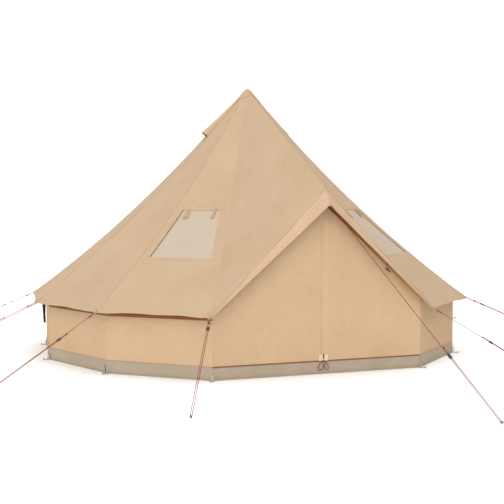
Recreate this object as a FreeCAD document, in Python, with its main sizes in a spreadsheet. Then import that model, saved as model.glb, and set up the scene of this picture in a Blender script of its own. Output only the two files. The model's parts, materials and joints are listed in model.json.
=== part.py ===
"""Bell tent, 4 m across: canvas roof gores on a centre pole, sloping door canopy on an
A-frame, vertical side walls on a groundsheet, guy lines with runners and steel pegs.

Millimetres, +Z up. The origin is on the ground, under the peak, at the groundsheet's
underside. The door looks along -Y. Azimuths are measured from -Y towards +X.
Radial pieces are drawn along +Y and then turned to their azimuth.
"""
import FreeCAD, Part
import math
import os
from FreeCAD import Placement, Rotation, Vector

doc = FreeCAD.newDocument("bell_tent")

# ---- driving dimensions ------------------------------------------------------------
sizes = {
    # footprint and roof
    "base_radius": 2000.0,          # corner of the wall, outer face
    "wall_count": 11,               # flat walls besides the door wall
    "door_half_angle": 28.03,       # half of the door wall, seen from the pole
    "peak_height": 2500.0,          # top of the canvas at the peak ring
    "peak_radius": 40.0,
    "eave_overhang": 135.0,         # eave corner beyond the wall's corner
    "eave_height": 520.0,
    "roof_sag": 92.0,               # hollow of the roof between peak and eave
    "eave_bow": 16.0,               # hollow of the eave edge between two corners
    "canvas": 3.0,
    "seat_gap": 0.3,
    # door canopy
    "tip_overhang": 96.6,           # tip of the canopy, in front of the door
    "tip_height": 1524.0,
    "hem_out": 82.0,                # lowest point of the hem, from the tip
    "hem_drop": 124.0,
    "hem_shallow": 12.0,            # hanging hem at the eave corner
    "hem_end": 6.0,                 # where the hem stops short of that corner
    # walls and ground
    "skirt_height": 110.0,
    "skirt_thick": 4.0,
    "groundsheet_thick": 3.0,
    # door leaves
    "leaf_drop": 162.0,             # top of the leaves, below the canopy's tip
    "leaf_top_side": 30.0,
    "jamb_foot": 41.9,              # width of a jamb beside the leaf, at the sill
    "leaf_lift": 12.0,              # open line above the sill
    "leaf_gap": 0.6,
    "flap_width": 72.0,
    "flap_thick": 2.0,
    "flap_lift": 2.0,               # flap's end above the leaf's edge
    "flap_short": 20.0,             # flap's top below the leaf's, at the zip
    "flap_slant": 60.0,
    "slider_wide": 14.0,
    "slider_inset": 20.0,            # slider's side, in from the flap's seam
    "slider_body": 15.0,
    "slider_thick": 6.0,
    "pull_wide": 8.0,
    "pull_long": 22.0,
    "pull_thick": 2.0,
    # windows
    "window_top": 1125.0,
    "window_bottom": 1500.0,
    "window_top_half": 180.0,
    "window_bottom_half": 292.0,
    "mesh_thick": 1.0,
    "mesh_margin": 14.0,
    "cover_roll_radius": 24.0,
    # vents
    "vent_top": 300.0,
    "vent_bottom": 430.0,
    "vent_half": 45.0,
    "hood_top": 216.0,
    "hood_bottom": 462.0,
    "hood_half": 50.0,
    "hood_rise": 52.0,
    "hood_lip": 14.0,               # front edge beyond the cheeks' feet
    "hood_seam": 4.0,               # sewn edge above the cheeks' tops
    # poles
    "pole_radius": 16.0,
    "pole_wall": 1.5,
    "pole_joint": 1250.0,
    "spigot_length": 140.0,
    "foot_radius": 42.0,
    "foot_height": 46.0,
    "foot_base": 8.0,
    "foot_wall": 6.0,
    "cap_height": 60.0,             # plug and peak above the pole's end
    "plug_depth": 40.0,
    "plug_shoulder": 18.0,
    "plug_rim": 2.0,
    "plug_clear": 9.0,              # between the plug's head and the peak's cloth
    "plug_under": 4.0,
    "crown_radius": 18.0,
    "crown_rise": 14.0,
    "crown_fall": 2.0,
    "cap_rim": 96.0,
    "leg_radius": 9.5,
    "leg_wall": 1.2,
    "leg_inset": 67.9,              # foot of a leg, in from the door's corner
    "apex_drop": 24.0,              # apex of the legs, below the canopy's tip
    "ball_radius": 17.0,
    "sleeve_length": 75.0,
    "sleeve_wall": 2.5,
    "stud_radius": 6.0,
    "stud_tip": 1.0,
    "stud_clear": 1.6,
    # guys
    "cord_radius": 2.0,
    "ring_radius": 11.0,
    "ring_wire": 2.0,
    "guy_peg_distance": 1205.0,     # guy pegs, out from the eave's corners
    "door_peg_distance": 1916.0,    # door peg, out from the hem's lowest point
    "door_peg_azimuth": 5.0,
    "front_guy_turn": -1.5,
    "peg_wire": 4.0,
    "guy_peg_depth": 190.0,
    "peg_head": 26.0,
    "peg_bend": 8.8,
    "peg_hook": 16.0,
    "peg_cord_height": 8.0,         # cord's height on its peg
    "runner_length": 40.0,
    "runner_width": 26.0,
    "runner_thick": 9.0,
    "runner_bore": 2.6,
    "runner_corner": 4.0,
    "runner_edge": 1.5,
    "tail": 70.0,                   # free end of the cord above its runner
    "wall_peg_reach": 52.0,         # from the wall corner to its peg
    "wall_peg_radius": 3.0,
    "wall_peg_depth": 190.0,
    "wall_peg_top": 14.0,
    "wall_peg_head": 7.0,
    "wall_peg_head_thick": 3.0,
    "loop_width": 25.0,
    "loop_thick": 2.0,
    "loop_end": 12.0,               # webbing beyond the peg
    "loop_lift": 2.0,
}
# where each runner sits, as a share of its line, from the door's right corner round
runner_shares = (0.43, 0.08, 0.3, 0.22, 0.35, 0.28, 0.24, 0.33, 0.2, 0.26, 0.31, 0.09)
door_runner_share = 0.73
rod_sides = 8                       # flats on the cords and the pegs' rod
ring_sides = 6                      # flats on the rings' rod

sheet = doc.addObject("Spreadsheet::Sheet", "Sizes")
for row, (alias, value) in enumerate(sizes.items(), start=1):
    sheet.set("A%d" % row, alias)
    sheet.set("B%d" % row, str(value))
    sheet.setAlias("B%d" % row, alias)
doc.recompute()

base_radius = sheet.base_radius
wall_count = int(sheet.wall_count)
door_half = sheet.door_half_angle
canvas = sheet.canvas
gap = sheet.seat_gap

# ---- worked geometry ---------------------------------------------------------------
gore_angle = (360.0 - 2.0 * door_half) / wall_count
gore_half = math.radians(gore_angle / 2.0)
corner_azimuths = [door_half + gore_angle * i for i in range(wall_count + 1)]
gore_azimuths = [door_half + gore_angle * (i + 0.5) for i in range(wall_count)]
wall_plane = base_radius * math.cos(gore_half)
door_plane = base_radius * math.cos(math.radians(door_half))
door_side = base_radius * math.sin(math.radians(door_half))
eave_radius = base_radius + sheet.eave_overhang
tip_reach = door_plane + sheet.tip_overhang
leaf_top = sheet.tip_height - sheet.leaf_drop
leaf_bottom_side = door_side - sheet.jamb_foot

# the roof's line along the middle of a gore: an arc from the peak to the eave
top_point = (sheet.peak_radius * math.cos(gore_half), sheet.peak_height)
eave_point = (eave_radius * math.cos(gore_half), sheet.eave_height)
run = eave_point[0] - top_point[0]
fall = eave_point[1] - top_point[1]
chord = math.hypot(run, fall)
arc_radius = chord ** 2 / (8.0 * sheet.roof_sag) + sheet.roof_sag / 2.0
lift = arc_radius - sheet.roof_sag
arc_centre = (
    (top_point[0] + eave_point[0]) / 2.0 - fall / chord * lift,
    (top_point[1] + eave_point[1]) / 2.0 + run / chord * lift,
)


def roof_height(reach, below=0.0):
    """Height of the roof's face at this distance from the pole, along a gore's middle."""
    radius = arc_radius + below
    return arc_centre[1] - math.sqrt(radius ** 2 - (reach - arc_centre[0]) ** 2)


def seam_height(reach, below=0.0):
    return roof_height(reach * math.cos(gore_half), below)


def polar(reach, azimuth, height=0.0):
    angle = math.radians(azimuth)
    return Vector(reach * math.sin(angle), -reach * math.cos(angle), height)


def turned(azimuth):
    """Placement that turns a piece drawn along +Y to its azimuth."""
    return Placement(Vector(), Rotation(Vector(0, 0, 1), azimuth + 180.0))


def add(kind, name, **props):
    """A document object; text values are bound to the sheet, the others are set."""
    thing = doc.addObject(kind, name)
    for prop, value in props.items():
        if isinstance(value, str):
            thing.setExpression(prop, value)
        else:
            setattr(thing, prop, value)
    return thing


def boolean(kind, name, base, tool):
    return add("Part::" + kind, name, Base=base, Tool=tool)


def finished(thing, label, placement=None):
    thing.Label = label
    if placement is not None:
        thing.Placement = placement
    nodes.append(thing)
    return thing


def feature(label, shape):
    """A sub-part whose shape comes from Part's own functions."""
    thing = doc.addObject("Part::Feature", label)
    thing.Shape = shape
    return finished(thing, label)


nodes = []


# ---- roof gores --------------------------------------------------------------------
def strip(name, below, thick):
    """Curved strip with the roof's line, as wide as the roof, before it is trimmed."""
    across = Placement(
        Vector(-base_radius, arc_centre[0], arc_centre[1]), Rotation(Vector(0, 1, 0), 90)
    )
    outer = add("Part::Cylinder", name + "_under", Radius=arc_radius + below + thick,
                Height="2 * Sizes.base_radius", Placement=across)
    inner = add("Part::Cylinder", name + "_over", Radius=arc_radius + below,
                Height="2 * Sizes.base_radius", Placement=across)
    return boolean("Cut", name + "_strip", outer, inner)


def plan(name, start, end, start_half, end_half):
    """Upright prism over a trapezium, for trimming a strip: ends and half widths."""
    return add("Part::Wedge", name, Ymin=start, Ymax=end,
               Xmin="-(%s)" % start_half, Xmax=start_half,
               X2min="-(%s)" % end_half, X2max=end_half,
               Zmin=0.0, Z2min=0.0, Zmax="2 * Sizes.peak_height",
               Z2max="2 * Sizes.peak_height")


half_tan = "tan(%.9f)" % (gore_angle / 2.0)
half_cos = "cos(%.9f)" % (gore_angle / 2.0)
bow_chord = 2.0 * eave_point[0] * math.tan(gore_half)
bow_radius = bow_chord ** 2 / (8.0 * sheet.eave_bow) + sheet.eave_bow / 2.0

for index, azimuth in enumerate(gore_azimuths):
    name = "gore_%02d" % (index + 1)
    inner_end = "Sizes.peak_radius * " + half_cos
    outer_end = "(Sizes.base_radius + Sizes.eave_overhang) * " + half_cos
    outline = plan(name + "_plan", inner_end, outer_end,
                   inner_end + " * " + half_tan, outer_end + " * " + half_tan)
    panel = boolean("Common", name + "_panel", strip(name, 0.0, canvas), outline)
    bow = add("Part::Cylinder", name + "_bow", Radius=bow_radius,
              Height="Sizes.peak_height",
              Placement=Placement(
                  Vector(0, eave_point[0] - sheet.eave_bow + bow_radius, 0), Rotation()))
    panel = boolean("Cut", name + "_bowed", panel, bow)
    if index in (0, wall_count - 1):
        hole = plan(name + "_window", "Sizes.window_top", "Sizes.window_bottom",
                    "Sizes.window_top_half", "Sizes.window_bottom_half")
        panel = boolean("Cut", name + "_open", panel, hole)
    if index in (2, wall_count - 3):
        hole = plan(name + "_vent", "Sizes.vent_top", "Sizes.vent_bottom",
                    "Sizes.vent_half", "Sizes.vent_half")
        panel = boolean("Cut", name + "_vented", panel, hole)
    finished(panel, "roof_panel_%02d" % (index + 1), turned(azimuth))
doc.recompute()


def pair(label, things, azimuths):
    """One node of equal pieces, each turned to its own azimuth."""
    copies = []
    for azimuth in azimuths:
        for thing in things:
            copy = thing.Shape.copy()
            copy.Placement = turned(azimuth).multiply(copy.Placement)
            copies.append(copy)
    return feature(label, Part.makeCompound(copies))


window_azimuths = (gore_azimuths[0], gore_azimuths[-1])
vent_azimuths = (gore_azimuths[2], gore_azimuths[-3])

# insect mesh under each window, on the canvas underside
mesh_plan = plan("mesh_plan", "Sizes.window_top - Sizes.mesh_margin",
                 "Sizes.window_bottom + Sizes.mesh_margin",
                 "Sizes.window_top_half + Sizes.mesh_margin",
                 "Sizes.window_bottom_half + Sizes.mesh_margin")
window_mesh = boolean("Common", "window_mesh",
                      strip("mesh", canvas + gap, sheet.mesh_thick), mesh_plan)
vent_plan = plan("vent_plan", "Sizes.vent_top - Sizes.mesh_margin",
                 "Sizes.vent_bottom + Sizes.mesh_margin",
                 "Sizes.vent_half + Sizes.mesh_margin",
                 "Sizes.vent_half + Sizes.mesh_margin")
vent_mesh = boolean("Common", "vent_mesh",
                    strip("vent_cloth", canvas + gap, sheet.mesh_thick), vent_plan)
# the window's inner cover, rolled and tied under its lower edge
roll_reach = sheet.window_bottom + sheet.mesh_margin + sheet.cover_roll_radius
roll_slope = math.atan2(roof_height(roll_reach - 1.0) - roof_height(roll_reach + 1.0), 2.0)
roll_drop = (sheet.cover_roll_radius + canvas + gap) / math.cos(roll_slope)
roll = add("Part::Cylinder", "cover_roll", Radius="Sizes.cover_roll_radius",
           Height="2 * Sizes.window_bottom_half",
           Placement=Placement(
               Vector(-sheet.window_bottom_half, roll_reach,
                      roof_height(roll_reach) - roll_drop),
               Rotation(Vector(0, 1, 0), 90)))
doc.recompute()
pair("window_meshes", [window_mesh], window_azimuths)
pair("vent_meshes", [vent_mesh], vent_azimuths)
pair("window_covers", [roll], window_azimuths)

# ---- vent hoods --------------------------------------------------------------------
hood_low = roof_height(sheet.hood_bottom)
hood_high = roof_height(sheet.hood_top)


def hood_side(offset):
    """Cheek of the hood, standing on the canvas."""
    points = [
        Vector(offset, sheet.hood_top, hood_high + gap),
        Vector(offset, sheet.hood_bottom, hood_low + gap),
        Vector(offset, sheet.hood_bottom + sheet.hood_lip, hood_low + sheet.hood_rise),
        Vector(offset, sheet.hood_top, hood_high + gap),
    ]
    return Part.Face(Part.makePolygon(points)).extrude(Vector(canvas, 0, 0))


hood_edge = sheet.hood_top - sheet.hood_seam
hood_edge_height = roof_height(hood_edge) + gap
hood_roof_points = [
    Vector(-sheet.hood_half, hood_edge, hood_edge_height),
    Vector(-sheet.hood_half, sheet.hood_bottom + sheet.hood_lip, hood_low + sheet.hood_rise + gap),
    Vector(-sheet.hood_half, sheet.hood_bottom + sheet.hood_lip,
           hood_low + sheet.hood_rise + canvas + gap),
    Vector(-sheet.hood_half, hood_edge, hood_edge_height + canvas),
    Vector(-sheet.hood_half, hood_edge, hood_edge_height),
]
hood_roof = Part.Face(Part.makePolygon(hood_roof_points)).extrude(
    Vector(2.0 * sheet.hood_half, 0, 0))
hood_parts = [hood_roof, hood_side(-sheet.hood_half), hood_side(sheet.hood_half - canvas)]
hood_shapes = []
for azimuth in vent_azimuths:
    for shape in hood_parts:
        copy = shape.copy()
        copy.Placement = turned(azimuth)
        hood_shapes.append(copy)
feature("vent_hoods", Part.makeCompound(hood_shapes))

# ---- door canopy -------------------------------------------------------------------
tip = Vector(0, -tip_reach, sheet.tip_height)
hem_tip = tip + Vector(0, -sheet.hem_out, -sheet.hem_drop)


def canopy_face(side, below):
    """Ruled cloth between the ridge and the curved seam, below the cloth's top."""
    middle = (sheet.peak_radius + eave_radius) / 2.0
    seam = Part.Arc(
        polar(sheet.peak_radius, side * door_half, sheet.peak_height - below),
        polar(middle, side * door_half, seam_height(middle) - below),
        polar(eave_radius, side * door_half, sheet.eave_height - below),
    ).toShape()
    ridge = Part.makeLine(Vector(0, -sheet.peak_radius, sheet.peak_height - below),
                          tip - Vector(0, 0, below))
    return Part.makeRuledSurface(seam, ridge)


def hem_shape(side):
    """Band hanging from the canopy's front edge, deep at the tip."""
    corner = polar(eave_radius, side * door_half, sheet.eave_height)
    drop = Vector(0, 0, canvas + gap)
    inward = Vector(0, canvas, 0)
    start = tip - drop
    end = corner - drop + Vector(-side * sheet.hem_end, 0, 0)
    hang = hem_tip - start
    points = [start, end, end + hang * (sheet.hem_shallow / hang.Length), hem_tip, start]
    return Part.Face(Part.makePolygon(points)).extrude(inward)


for side, word in ((-1, "left"), (1, "right")):
    feature("canopy_" + word, canopy_face(side, 0.0).extrude(Vector(0, 0, -canvas)))
    feature("canopy_hem_" + word, hem_shape(side))

# ---- walls, skirt, sill and groundsheet ---------------------------------------------
wall_top = roof_height(wall_plane, canvas) - gap


def wall_panel(name, plane, thick, low, high, half):
    """Flat upright panel with mitred ends, drawn along +Y."""
    inner = plane - thick
    return add("Part::Wedge", name, Ymin=inner, Ymax=plane,
               Xmin=-inner * math.tan(half), Xmax=inner * math.tan(half),
               X2min=-plane * math.tan(half), X2max=plane * math.tan(half),
               Zmin=low, Z2min=low, Zmax=high, Z2max=high)


wall = wall_panel("wall", wall_plane, canvas, sheet.skirt_height, wall_top, gore_half)
skirt = wall_panel("skirt", wall_plane, sheet.skirt_thick, 0.0, sheet.skirt_height,
                   gore_half)
sill = wall_panel("sill", door_plane, sheet.skirt_thick, 0.0, sheet.skirt_height,
                  math.radians(door_half))
doc.recompute()
side_count = wall_count // 2
pair("sidewall_right", [wall], gore_azimuths[:side_count])
pair("sidewall_back", [wall], gore_azimuths[side_count:-side_count])
pair("sidewall_left", [wall], gore_azimuths[-side_count:])
pair("mud_skirt", [skirt], gore_azimuths)
finished(sill, "door_sill", turned(0.0))

floor_radius = base_radius - (sheet.skirt_thick + gap) / math.cos(gore_half)
floor_corners = [polar(floor_radius, azimuth) for azimuth in corner_azimuths]
sill_back = -(door_plane - sheet.skirt_thick - gap)
floor_corners[0].y = max(floor_corners[0].y, sill_back)
floor_corners[-1].y = max(floor_corners[-1].y, sill_back)
groundsheet = Part.Face(Part.makePolygon(floor_corners + floor_corners[:1]))
feature("groundsheet", groundsheet.extrude(Vector(0, 0, sheet.groundsheet_thick)))

# ---- door: jambs, leaves, storm flap, zip slider --------------------------------------
leaf_bottom = sheet.skirt_height + sheet.leaf_lift
hinge_top = Vector(sheet.leaf_top_side, -door_plane, leaf_top)
hinge_bottom = Vector(leaf_bottom_side, -door_plane, leaf_bottom)
hinge_run = hinge_bottom - hinge_top
hinge_run.normalize()
outboard = Vector(-hinge_run.z, 0, hinge_run.x)     # away from the leaf, in its plane
half_gap = sheet.leaf_gap / 2.0


def upright(points, depth, side, start=0.0):
    """Flat panel in the door's plane, from (x, z) points, its outer face at the plane."""
    corners = [Vector(side * x, -door_plane + start, z) for x, z in points]
    face = Part.Face(Part.makePolygon(corners + corners[:1]))
    return face.extrude(Vector(0, depth, 0))


def moved(point, distance):
    shifted = point + outboard * distance
    return (shifted.x, shifted.z)


jamb_side = (door_plane - canvas) * math.tan(math.radians(door_half)) - gap
foot_side = leaf_bottom_side + 2.0 * sheet.leaf_gap
for side, word in ((-1, "left"), (1, "right")):
    jamb = upright([
        (half_gap, leaf_top + sheet.leaf_gap),
        (sheet.leaf_top_side + half_gap, leaf_top + sheet.leaf_gap),
        moved(hinge_bottom, half_gap),
        (foot_side, sheet.skirt_height + gap),
        (jamb_side, sheet.skirt_height + gap),
        (jamb_side, sheet.peak_height),
        (half_gap, sheet.peak_height),
    ], canvas, side)
    void = canopy_face(side, canvas + gap).extrude(Vector(0, 0, sheet.peak_height))
    feature("door_jamb_" + word, jamb.cut(void))
    leaf = upright([
        (half_gap, leaf_bottom),
        moved(hinge_bottom, -half_gap),
        moved(hinge_top, -half_gap),
        (half_gap, leaf_top),
    ], canvas, side)
    feature("door_leaf_" + word, leaf)

flap = upright([
    (half_gap, leaf_bottom + sheet.flap_lift),
    (sheet.flap_width, leaf_bottom + sheet.flap_lift),
    (sheet.flap_width, leaf_top - sheet.flap_short - sheet.flap_slant),
    (half_gap, leaf_top - sheet.flap_short),
], sheet.flap_thick, 1, -sheet.flap_thick)
feature("storm_flap", flap)
# slider: a body that narrows upwards, and a flat pull that hangs from it
slider_back = -door_plane - sheet.flap_thick - gap
slider_middle = sheet.leaf_gap + sheet.slider_inset + sheet.slider_wide / 2.0
pull_low = leaf_bottom + sheet.flap_lift
slider_body = add("Part::Wedge", "slider_body",
                  Xmin="-Sizes.slider_wide / 2", Xmax="Sizes.slider_wide / 2",
                  Ymin=0.0, Ymax="Sizes.slider_thick", Zmin=0.0, Zmax="Sizes.slider_body",
                  X2min="-Sizes.pull_wide / 2", X2max="Sizes.pull_wide / 2",
                  Z2min="Sizes.pull_thick", Z2max="Sizes.slider_body - Sizes.pull_thick",
                  Placement=Placement(
                      Vector(slider_middle, slider_back, pull_low + sheet.pull_long),
                      Rotation(Vector(0, 0, 1), 180)))
pull = add("Part::Box", "slider_pull", Length="Sizes.pull_wide",
           Width="Sizes.pull_thick", Height="Sizes.pull_long + Sizes.slider_body / 2",
           Placement=Placement(
               Vector(slider_middle - sheet.pull_wide / 2.0,
                      slider_back - sheet.slider_thick / 2.0, pull_low), Rotation()))
finished(boolean("Fuse", "slider", slider_body, pull), "door_zip_slider")

# ---- centre pole -------------------------------------------------------------------
foot_top = sheet.groundsheet_thick + sheet.foot_height
pole_start = sheet.groundsheet_thick + sheet.foot_base
pole_end = sheet.peak_height - sheet.cap_height


def tube(label, radius, wall_thick, length, place):
    """Steel tube, drawn along its own Z from its placement."""
    outer = add("Part::Cylinder", label + "_outer", Radius="Sizes." + radius, Height=length)
    inner = add("Part::Cylinder", label + "_bore",
                Radius="Sizes.%s - Sizes.%s" % (radius, wall_thick), Height=length)
    return finished(boolean("Cut", label + "_tube", outer, inner), label, place)


tube("centre_pole_lower", "pole_radius", "pole_wall", sheet.pole_joint - pole_start,
     Placement(Vector(0, 0, pole_start), Rotation()))
tube("centre_pole_upper", "pole_radius", "pole_wall", pole_end - sheet.pole_joint,
     Placement(Vector(0, 0, sheet.pole_joint), Rotation()))
spigot = add("Part::Cylinder", "spigot", Radius=sheet.pole_radius - sheet.pole_wall - gap,
             Height="Sizes.spigot_length",
             Placement=Placement(
                 Vector(0, 0, sheet.pole_joint - sheet.spigot_length / 2.0), Rotation()))
finished(spigot, "pole_spigot")

foot_body = add("Part::Cone", "foot_body", Radius1="Sizes.foot_radius",
                Radius2="Sizes.pole_radius + Sizes.foot_wall", Height="Sizes.foot_height")
foot_hole = add("Part::Cylinder", "foot_hole", Radius="Sizes.pole_radius + Sizes.seat_gap",
                Height="Sizes.foot_height")
foot_hole.Placement = Placement(Vector(0, 0, sheet.foot_base), Rotation())
foot = boolean("Cut", "foot", foot_body, foot_hole)
finished(foot, "pole_foot", Placement(Vector(0, 0, sheet.groundsheet_thick), Rotation()))

# plug on the pole's top: a skirt round the tube and a dome that fills the peak ring
head_radius = sheet.peak_radius * math.cos(gore_half) - canvas - sheet.plug_clear
shoulder = pole_end + sheet.plug_shoulder
plug = Part.makeCylinder(sheet.pole_radius - sheet.pole_wall - gap, sheet.plug_depth,
                         Vector(0, 0, pole_end - sheet.plug_depth))
plug = plug.fuse(Part.makeCone(sheet.pole_radius + sheet.plug_rim, head_radius,
                               sheet.plug_shoulder, Vector(0, 0, pole_end)))
plug = plug.fuse(Part.makeCylinder(
    head_radius, sheet.peak_height - sheet.plug_under - shoulder,
    Vector(0, 0, shoulder))).removeSplitter()
feature("pole_plug", plug)

# sewn reinforcement over the peak
cap_slope = (sheet.peak_height - sheet.tip_height) / (tip_reach - sheet.peak_radius)
rim_height = (sheet.peak_height + 2.0 * gap
              - (sheet.cap_rim - sheet.peak_radius) * cap_slope)
ring_height = sheet.peak_height + 2.0 * gap
crown_height = ring_height + sheet.crown_rise
cap_line = [(0.0, crown_height), (sheet.crown_radius, crown_height - sheet.crown_fall),
            (sheet.peak_radius, ring_height), (sheet.cap_rim, rim_height)]
cap_points = [Vector(reach, 0, height) for reach, height in cap_line]
cap_points += [point + Vector(0, 0, canvas) for point in reversed(cap_points)]
cap = Part.Face(Part.makePolygon(cap_points + cap_points[:1])).revolve(
    Vector(), Vector(0, 0, 1), 360)
feature("peak_cap", cap)

# ---- door A-frame ------------------------------------------------------------------
frame_plane = -door_plane + canvas + gap + sheet.ball_radius
apex = Vector(0, frame_plane, sheet.tip_height - sheet.apex_drop)
sleeve_bore = sheet.leg_radius + gap
sleeves = []
bores = []
for side, word in ((-1, "left"), (1, "right")):
    foot_at = Vector(side * (door_side - sheet.leg_inset), frame_plane, 0)
    down = foot_at - apex
    down.normalize()
    rise = sheet.groundsheet_thick + gap + sheet.leg_radius * abs(down.x)
    length = (apex.z - rise) / -down.z - sheet.ball_radius - gap
    start = apex + down * (sheet.ball_radius + gap)
    tube("frame_leg_" + word, "leg_radius", "leg_wall", length,
         Placement(start, Rotation(Vector(0, 0, 1), down)))
    sleeves.append(Part.makeCylinder(sleeve_bore + sheet.sleeve_wall, sheet.sleeve_length,
                                     apex, down))
    bores.append(Part.makeCylinder(sleeve_bore, sheet.sleeve_length,
                                   apex + down * sheet.ball_radius, down))
ball = Part.makeCylinder(sheet.ball_radius, 2.0 * (sleeve_bore + sheet.sleeve_wall),
                         apex - Vector(0, sleeve_bore + sheet.sleeve_wall, 0),
                         Vector(0, 1, 0))
ridge_under = sheet.peak_height - canvas - gap + (
    sheet.peak_radius - abs(frame_plane)) * cap_slope
stud = Part.makeCone(sheet.stud_radius, sheet.stud_tip,
                     ridge_under - apex.z - sheet.stud_clear, apex)
joint_shape = ball.fuse([stud] + sleeves)
for bore in bores:
    joint_shape = joint_shape.cut(bore)
feature("frame_apex_joint", joint_shape.removeSplitter())

# ---- eave rings, guy lines, runners and pegs -----------------------------------------
outer_ring = sheet.ring_radius + sheet.ring_wire
# the cord's two strands lie on either side of the peg that they go round
cord_pitch = 2.0 * (sheet.peg_wire + sheet.cord_radius + gap)


def guy_frame(anchor, peg_point):
    """Placement at the cloth's corner: local +X runs down the line."""
    along = peg_point - anchor
    along.normalize()
    across = Vector(0, 0, 1).cross(along)
    across.normalize()
    up = along.cross(across)
    matrix = FreeCAD.Matrix(along.x, across.x, up.x, 0, along.y, across.y, up.y, 0,
                            along.z, across.z, up.z, 0, 0, 0, 0, 1)
    return Placement(anchor, Placement(matrix).Rotation)


def rod(path, start, along, radius):
    """Rod with flat sides along a wire, and the area of its section."""
    facing = Rotation(Vector(0, 0, 1), along)
    corners = []
    for number in range(rod_sides):
        angle = 2.0 * math.pi * number / rod_sides
        corners.append(start + facing.multVec(
            Vector(radius * math.cos(angle), radius * math.sin(angle), 0)))
    section = Part.makePolygon(corners + corners[:1])
    area = rod_sides / 2.0 * radius ** 2 * math.sin(2.0 * math.pi / rod_sides)
    return path.makePipeShell([section], True, False), area


def ring_shape():
    """Ring of steel rod, in its own XY plane."""
    corners = []
    for number in range(ring_sides):
        angle = 2.0 * math.pi * number / ring_sides
        corners.append(Vector(sheet.ring_radius + sheet.ring_wire * math.cos(angle), 0,
                              sheet.ring_wire * math.sin(angle)))
    return Part.Face(Part.makePolygon(corners + corners[:1])).revolve(
        Vector(), Vector(0, 0, 1), 360)


def guy_cord(length, runner_at):
    """Cord from the ring to the peg, round it and back through the runner."""
    pitch = cord_pitch
    end = Vector(length, 0, 0)
    back = Vector(length, pitch, 0)
    free = Vector(runner_at - sheet.tail, pitch, 0)
    turn = Part.Arc(end, Vector(length + pitch / 2.0, pitch / 2.0, 0), back).toShape()
    path = Part.Wire([Part.LineSegment(Vector(), end).toShape(), turn,
                      Part.LineSegment(back, free).toShape()])
    cord, area = rod(path, Vector(), Vector(1, 0, 0), sheet.cord_radius)
    if abs(cord.Volume / (area * path.Length) - 1.0) > 0.01:
        raise ValueError("a guy line's volume is wrong: %.1f" % cord.Volume)
    return cord, path.Length


def peg_shape(lean):
    """Steel pin with its top bent over as a hook; the ground is at z = 0."""
    depth = sheet.guy_peg_depth
    bend = sheet.peg_bend
    top = sheet.peg_head - bend
    path = Part.Wire([
        Part.LineSegment(Vector(0, 0, -depth), Vector(0, 0, top)).toShape(),
        Part.Arc(Vector(0, 0, top),
                 Vector(0, bend - bend * math.cos(math.pi / 4),
                        top + bend * math.sin(math.pi / 4)),
                 Vector(0, bend, top + bend)).toShape(),
        Part.LineSegment(Vector(0, bend, top + bend),
                         Vector(0, bend + sheet.peg_hook, top + bend)).toShape(),
    ])
    peg = rod(path, Vector(0, 0, -depth), Vector(0, 0, 1), sheet.peg_wire)[0]
    peg.Placement = Placement(Vector(), Rotation(Vector(1, 0, 0), -lean))
    return peg


def chamfered(name, base, direction, size):
    """The piece with its straight edges that run this way cut back."""
    edges = []
    for number, edge in enumerate(base.Shape.Edges, start=1):
        run = edge.Vertexes[-1].Point - edge.Vertexes[0].Point
        run.normalize()
        if abs(run.dot(direction)) > 0.999:
            edges.append((number, size, size))
    thing = doc.addObject("Part::Chamfer", name)
    thing.Base = base
    thing.Edges = edges
    doc.recompute()
    return thing


guys = []
for index, azimuth in enumerate(corner_azimuths):
    turn = 0.0
    if index == 0:
        turn = sheet.front_guy_turn
    elif index == wall_count:
        turn = -sheet.front_guy_turn
    name = "tensioner_%02d" % (index + 1)
    side = "right" if azimuth < 180.0 else "left"
    anchor = polar(eave_radius, azimuth, sheet.eave_height - canvas / 2.0)
    peg_point = polar(eave_radius + sheet.guy_peg_distance, azimuth + turn, sheet.peg_cord_height)
    guys.append((name, side, anchor, peg_point, runner_shares[index]))
door_anchor = hem_tip - Vector(0, 2.0 * gap, 0)
door_peg = polar(sheet.door_peg_distance - hem_tip.y, sheet.door_peg_azimuth,
                 sheet.peg_cord_height)
guys.append(("tensioner_door", "door", door_anchor, door_peg, door_runner_share))

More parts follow.
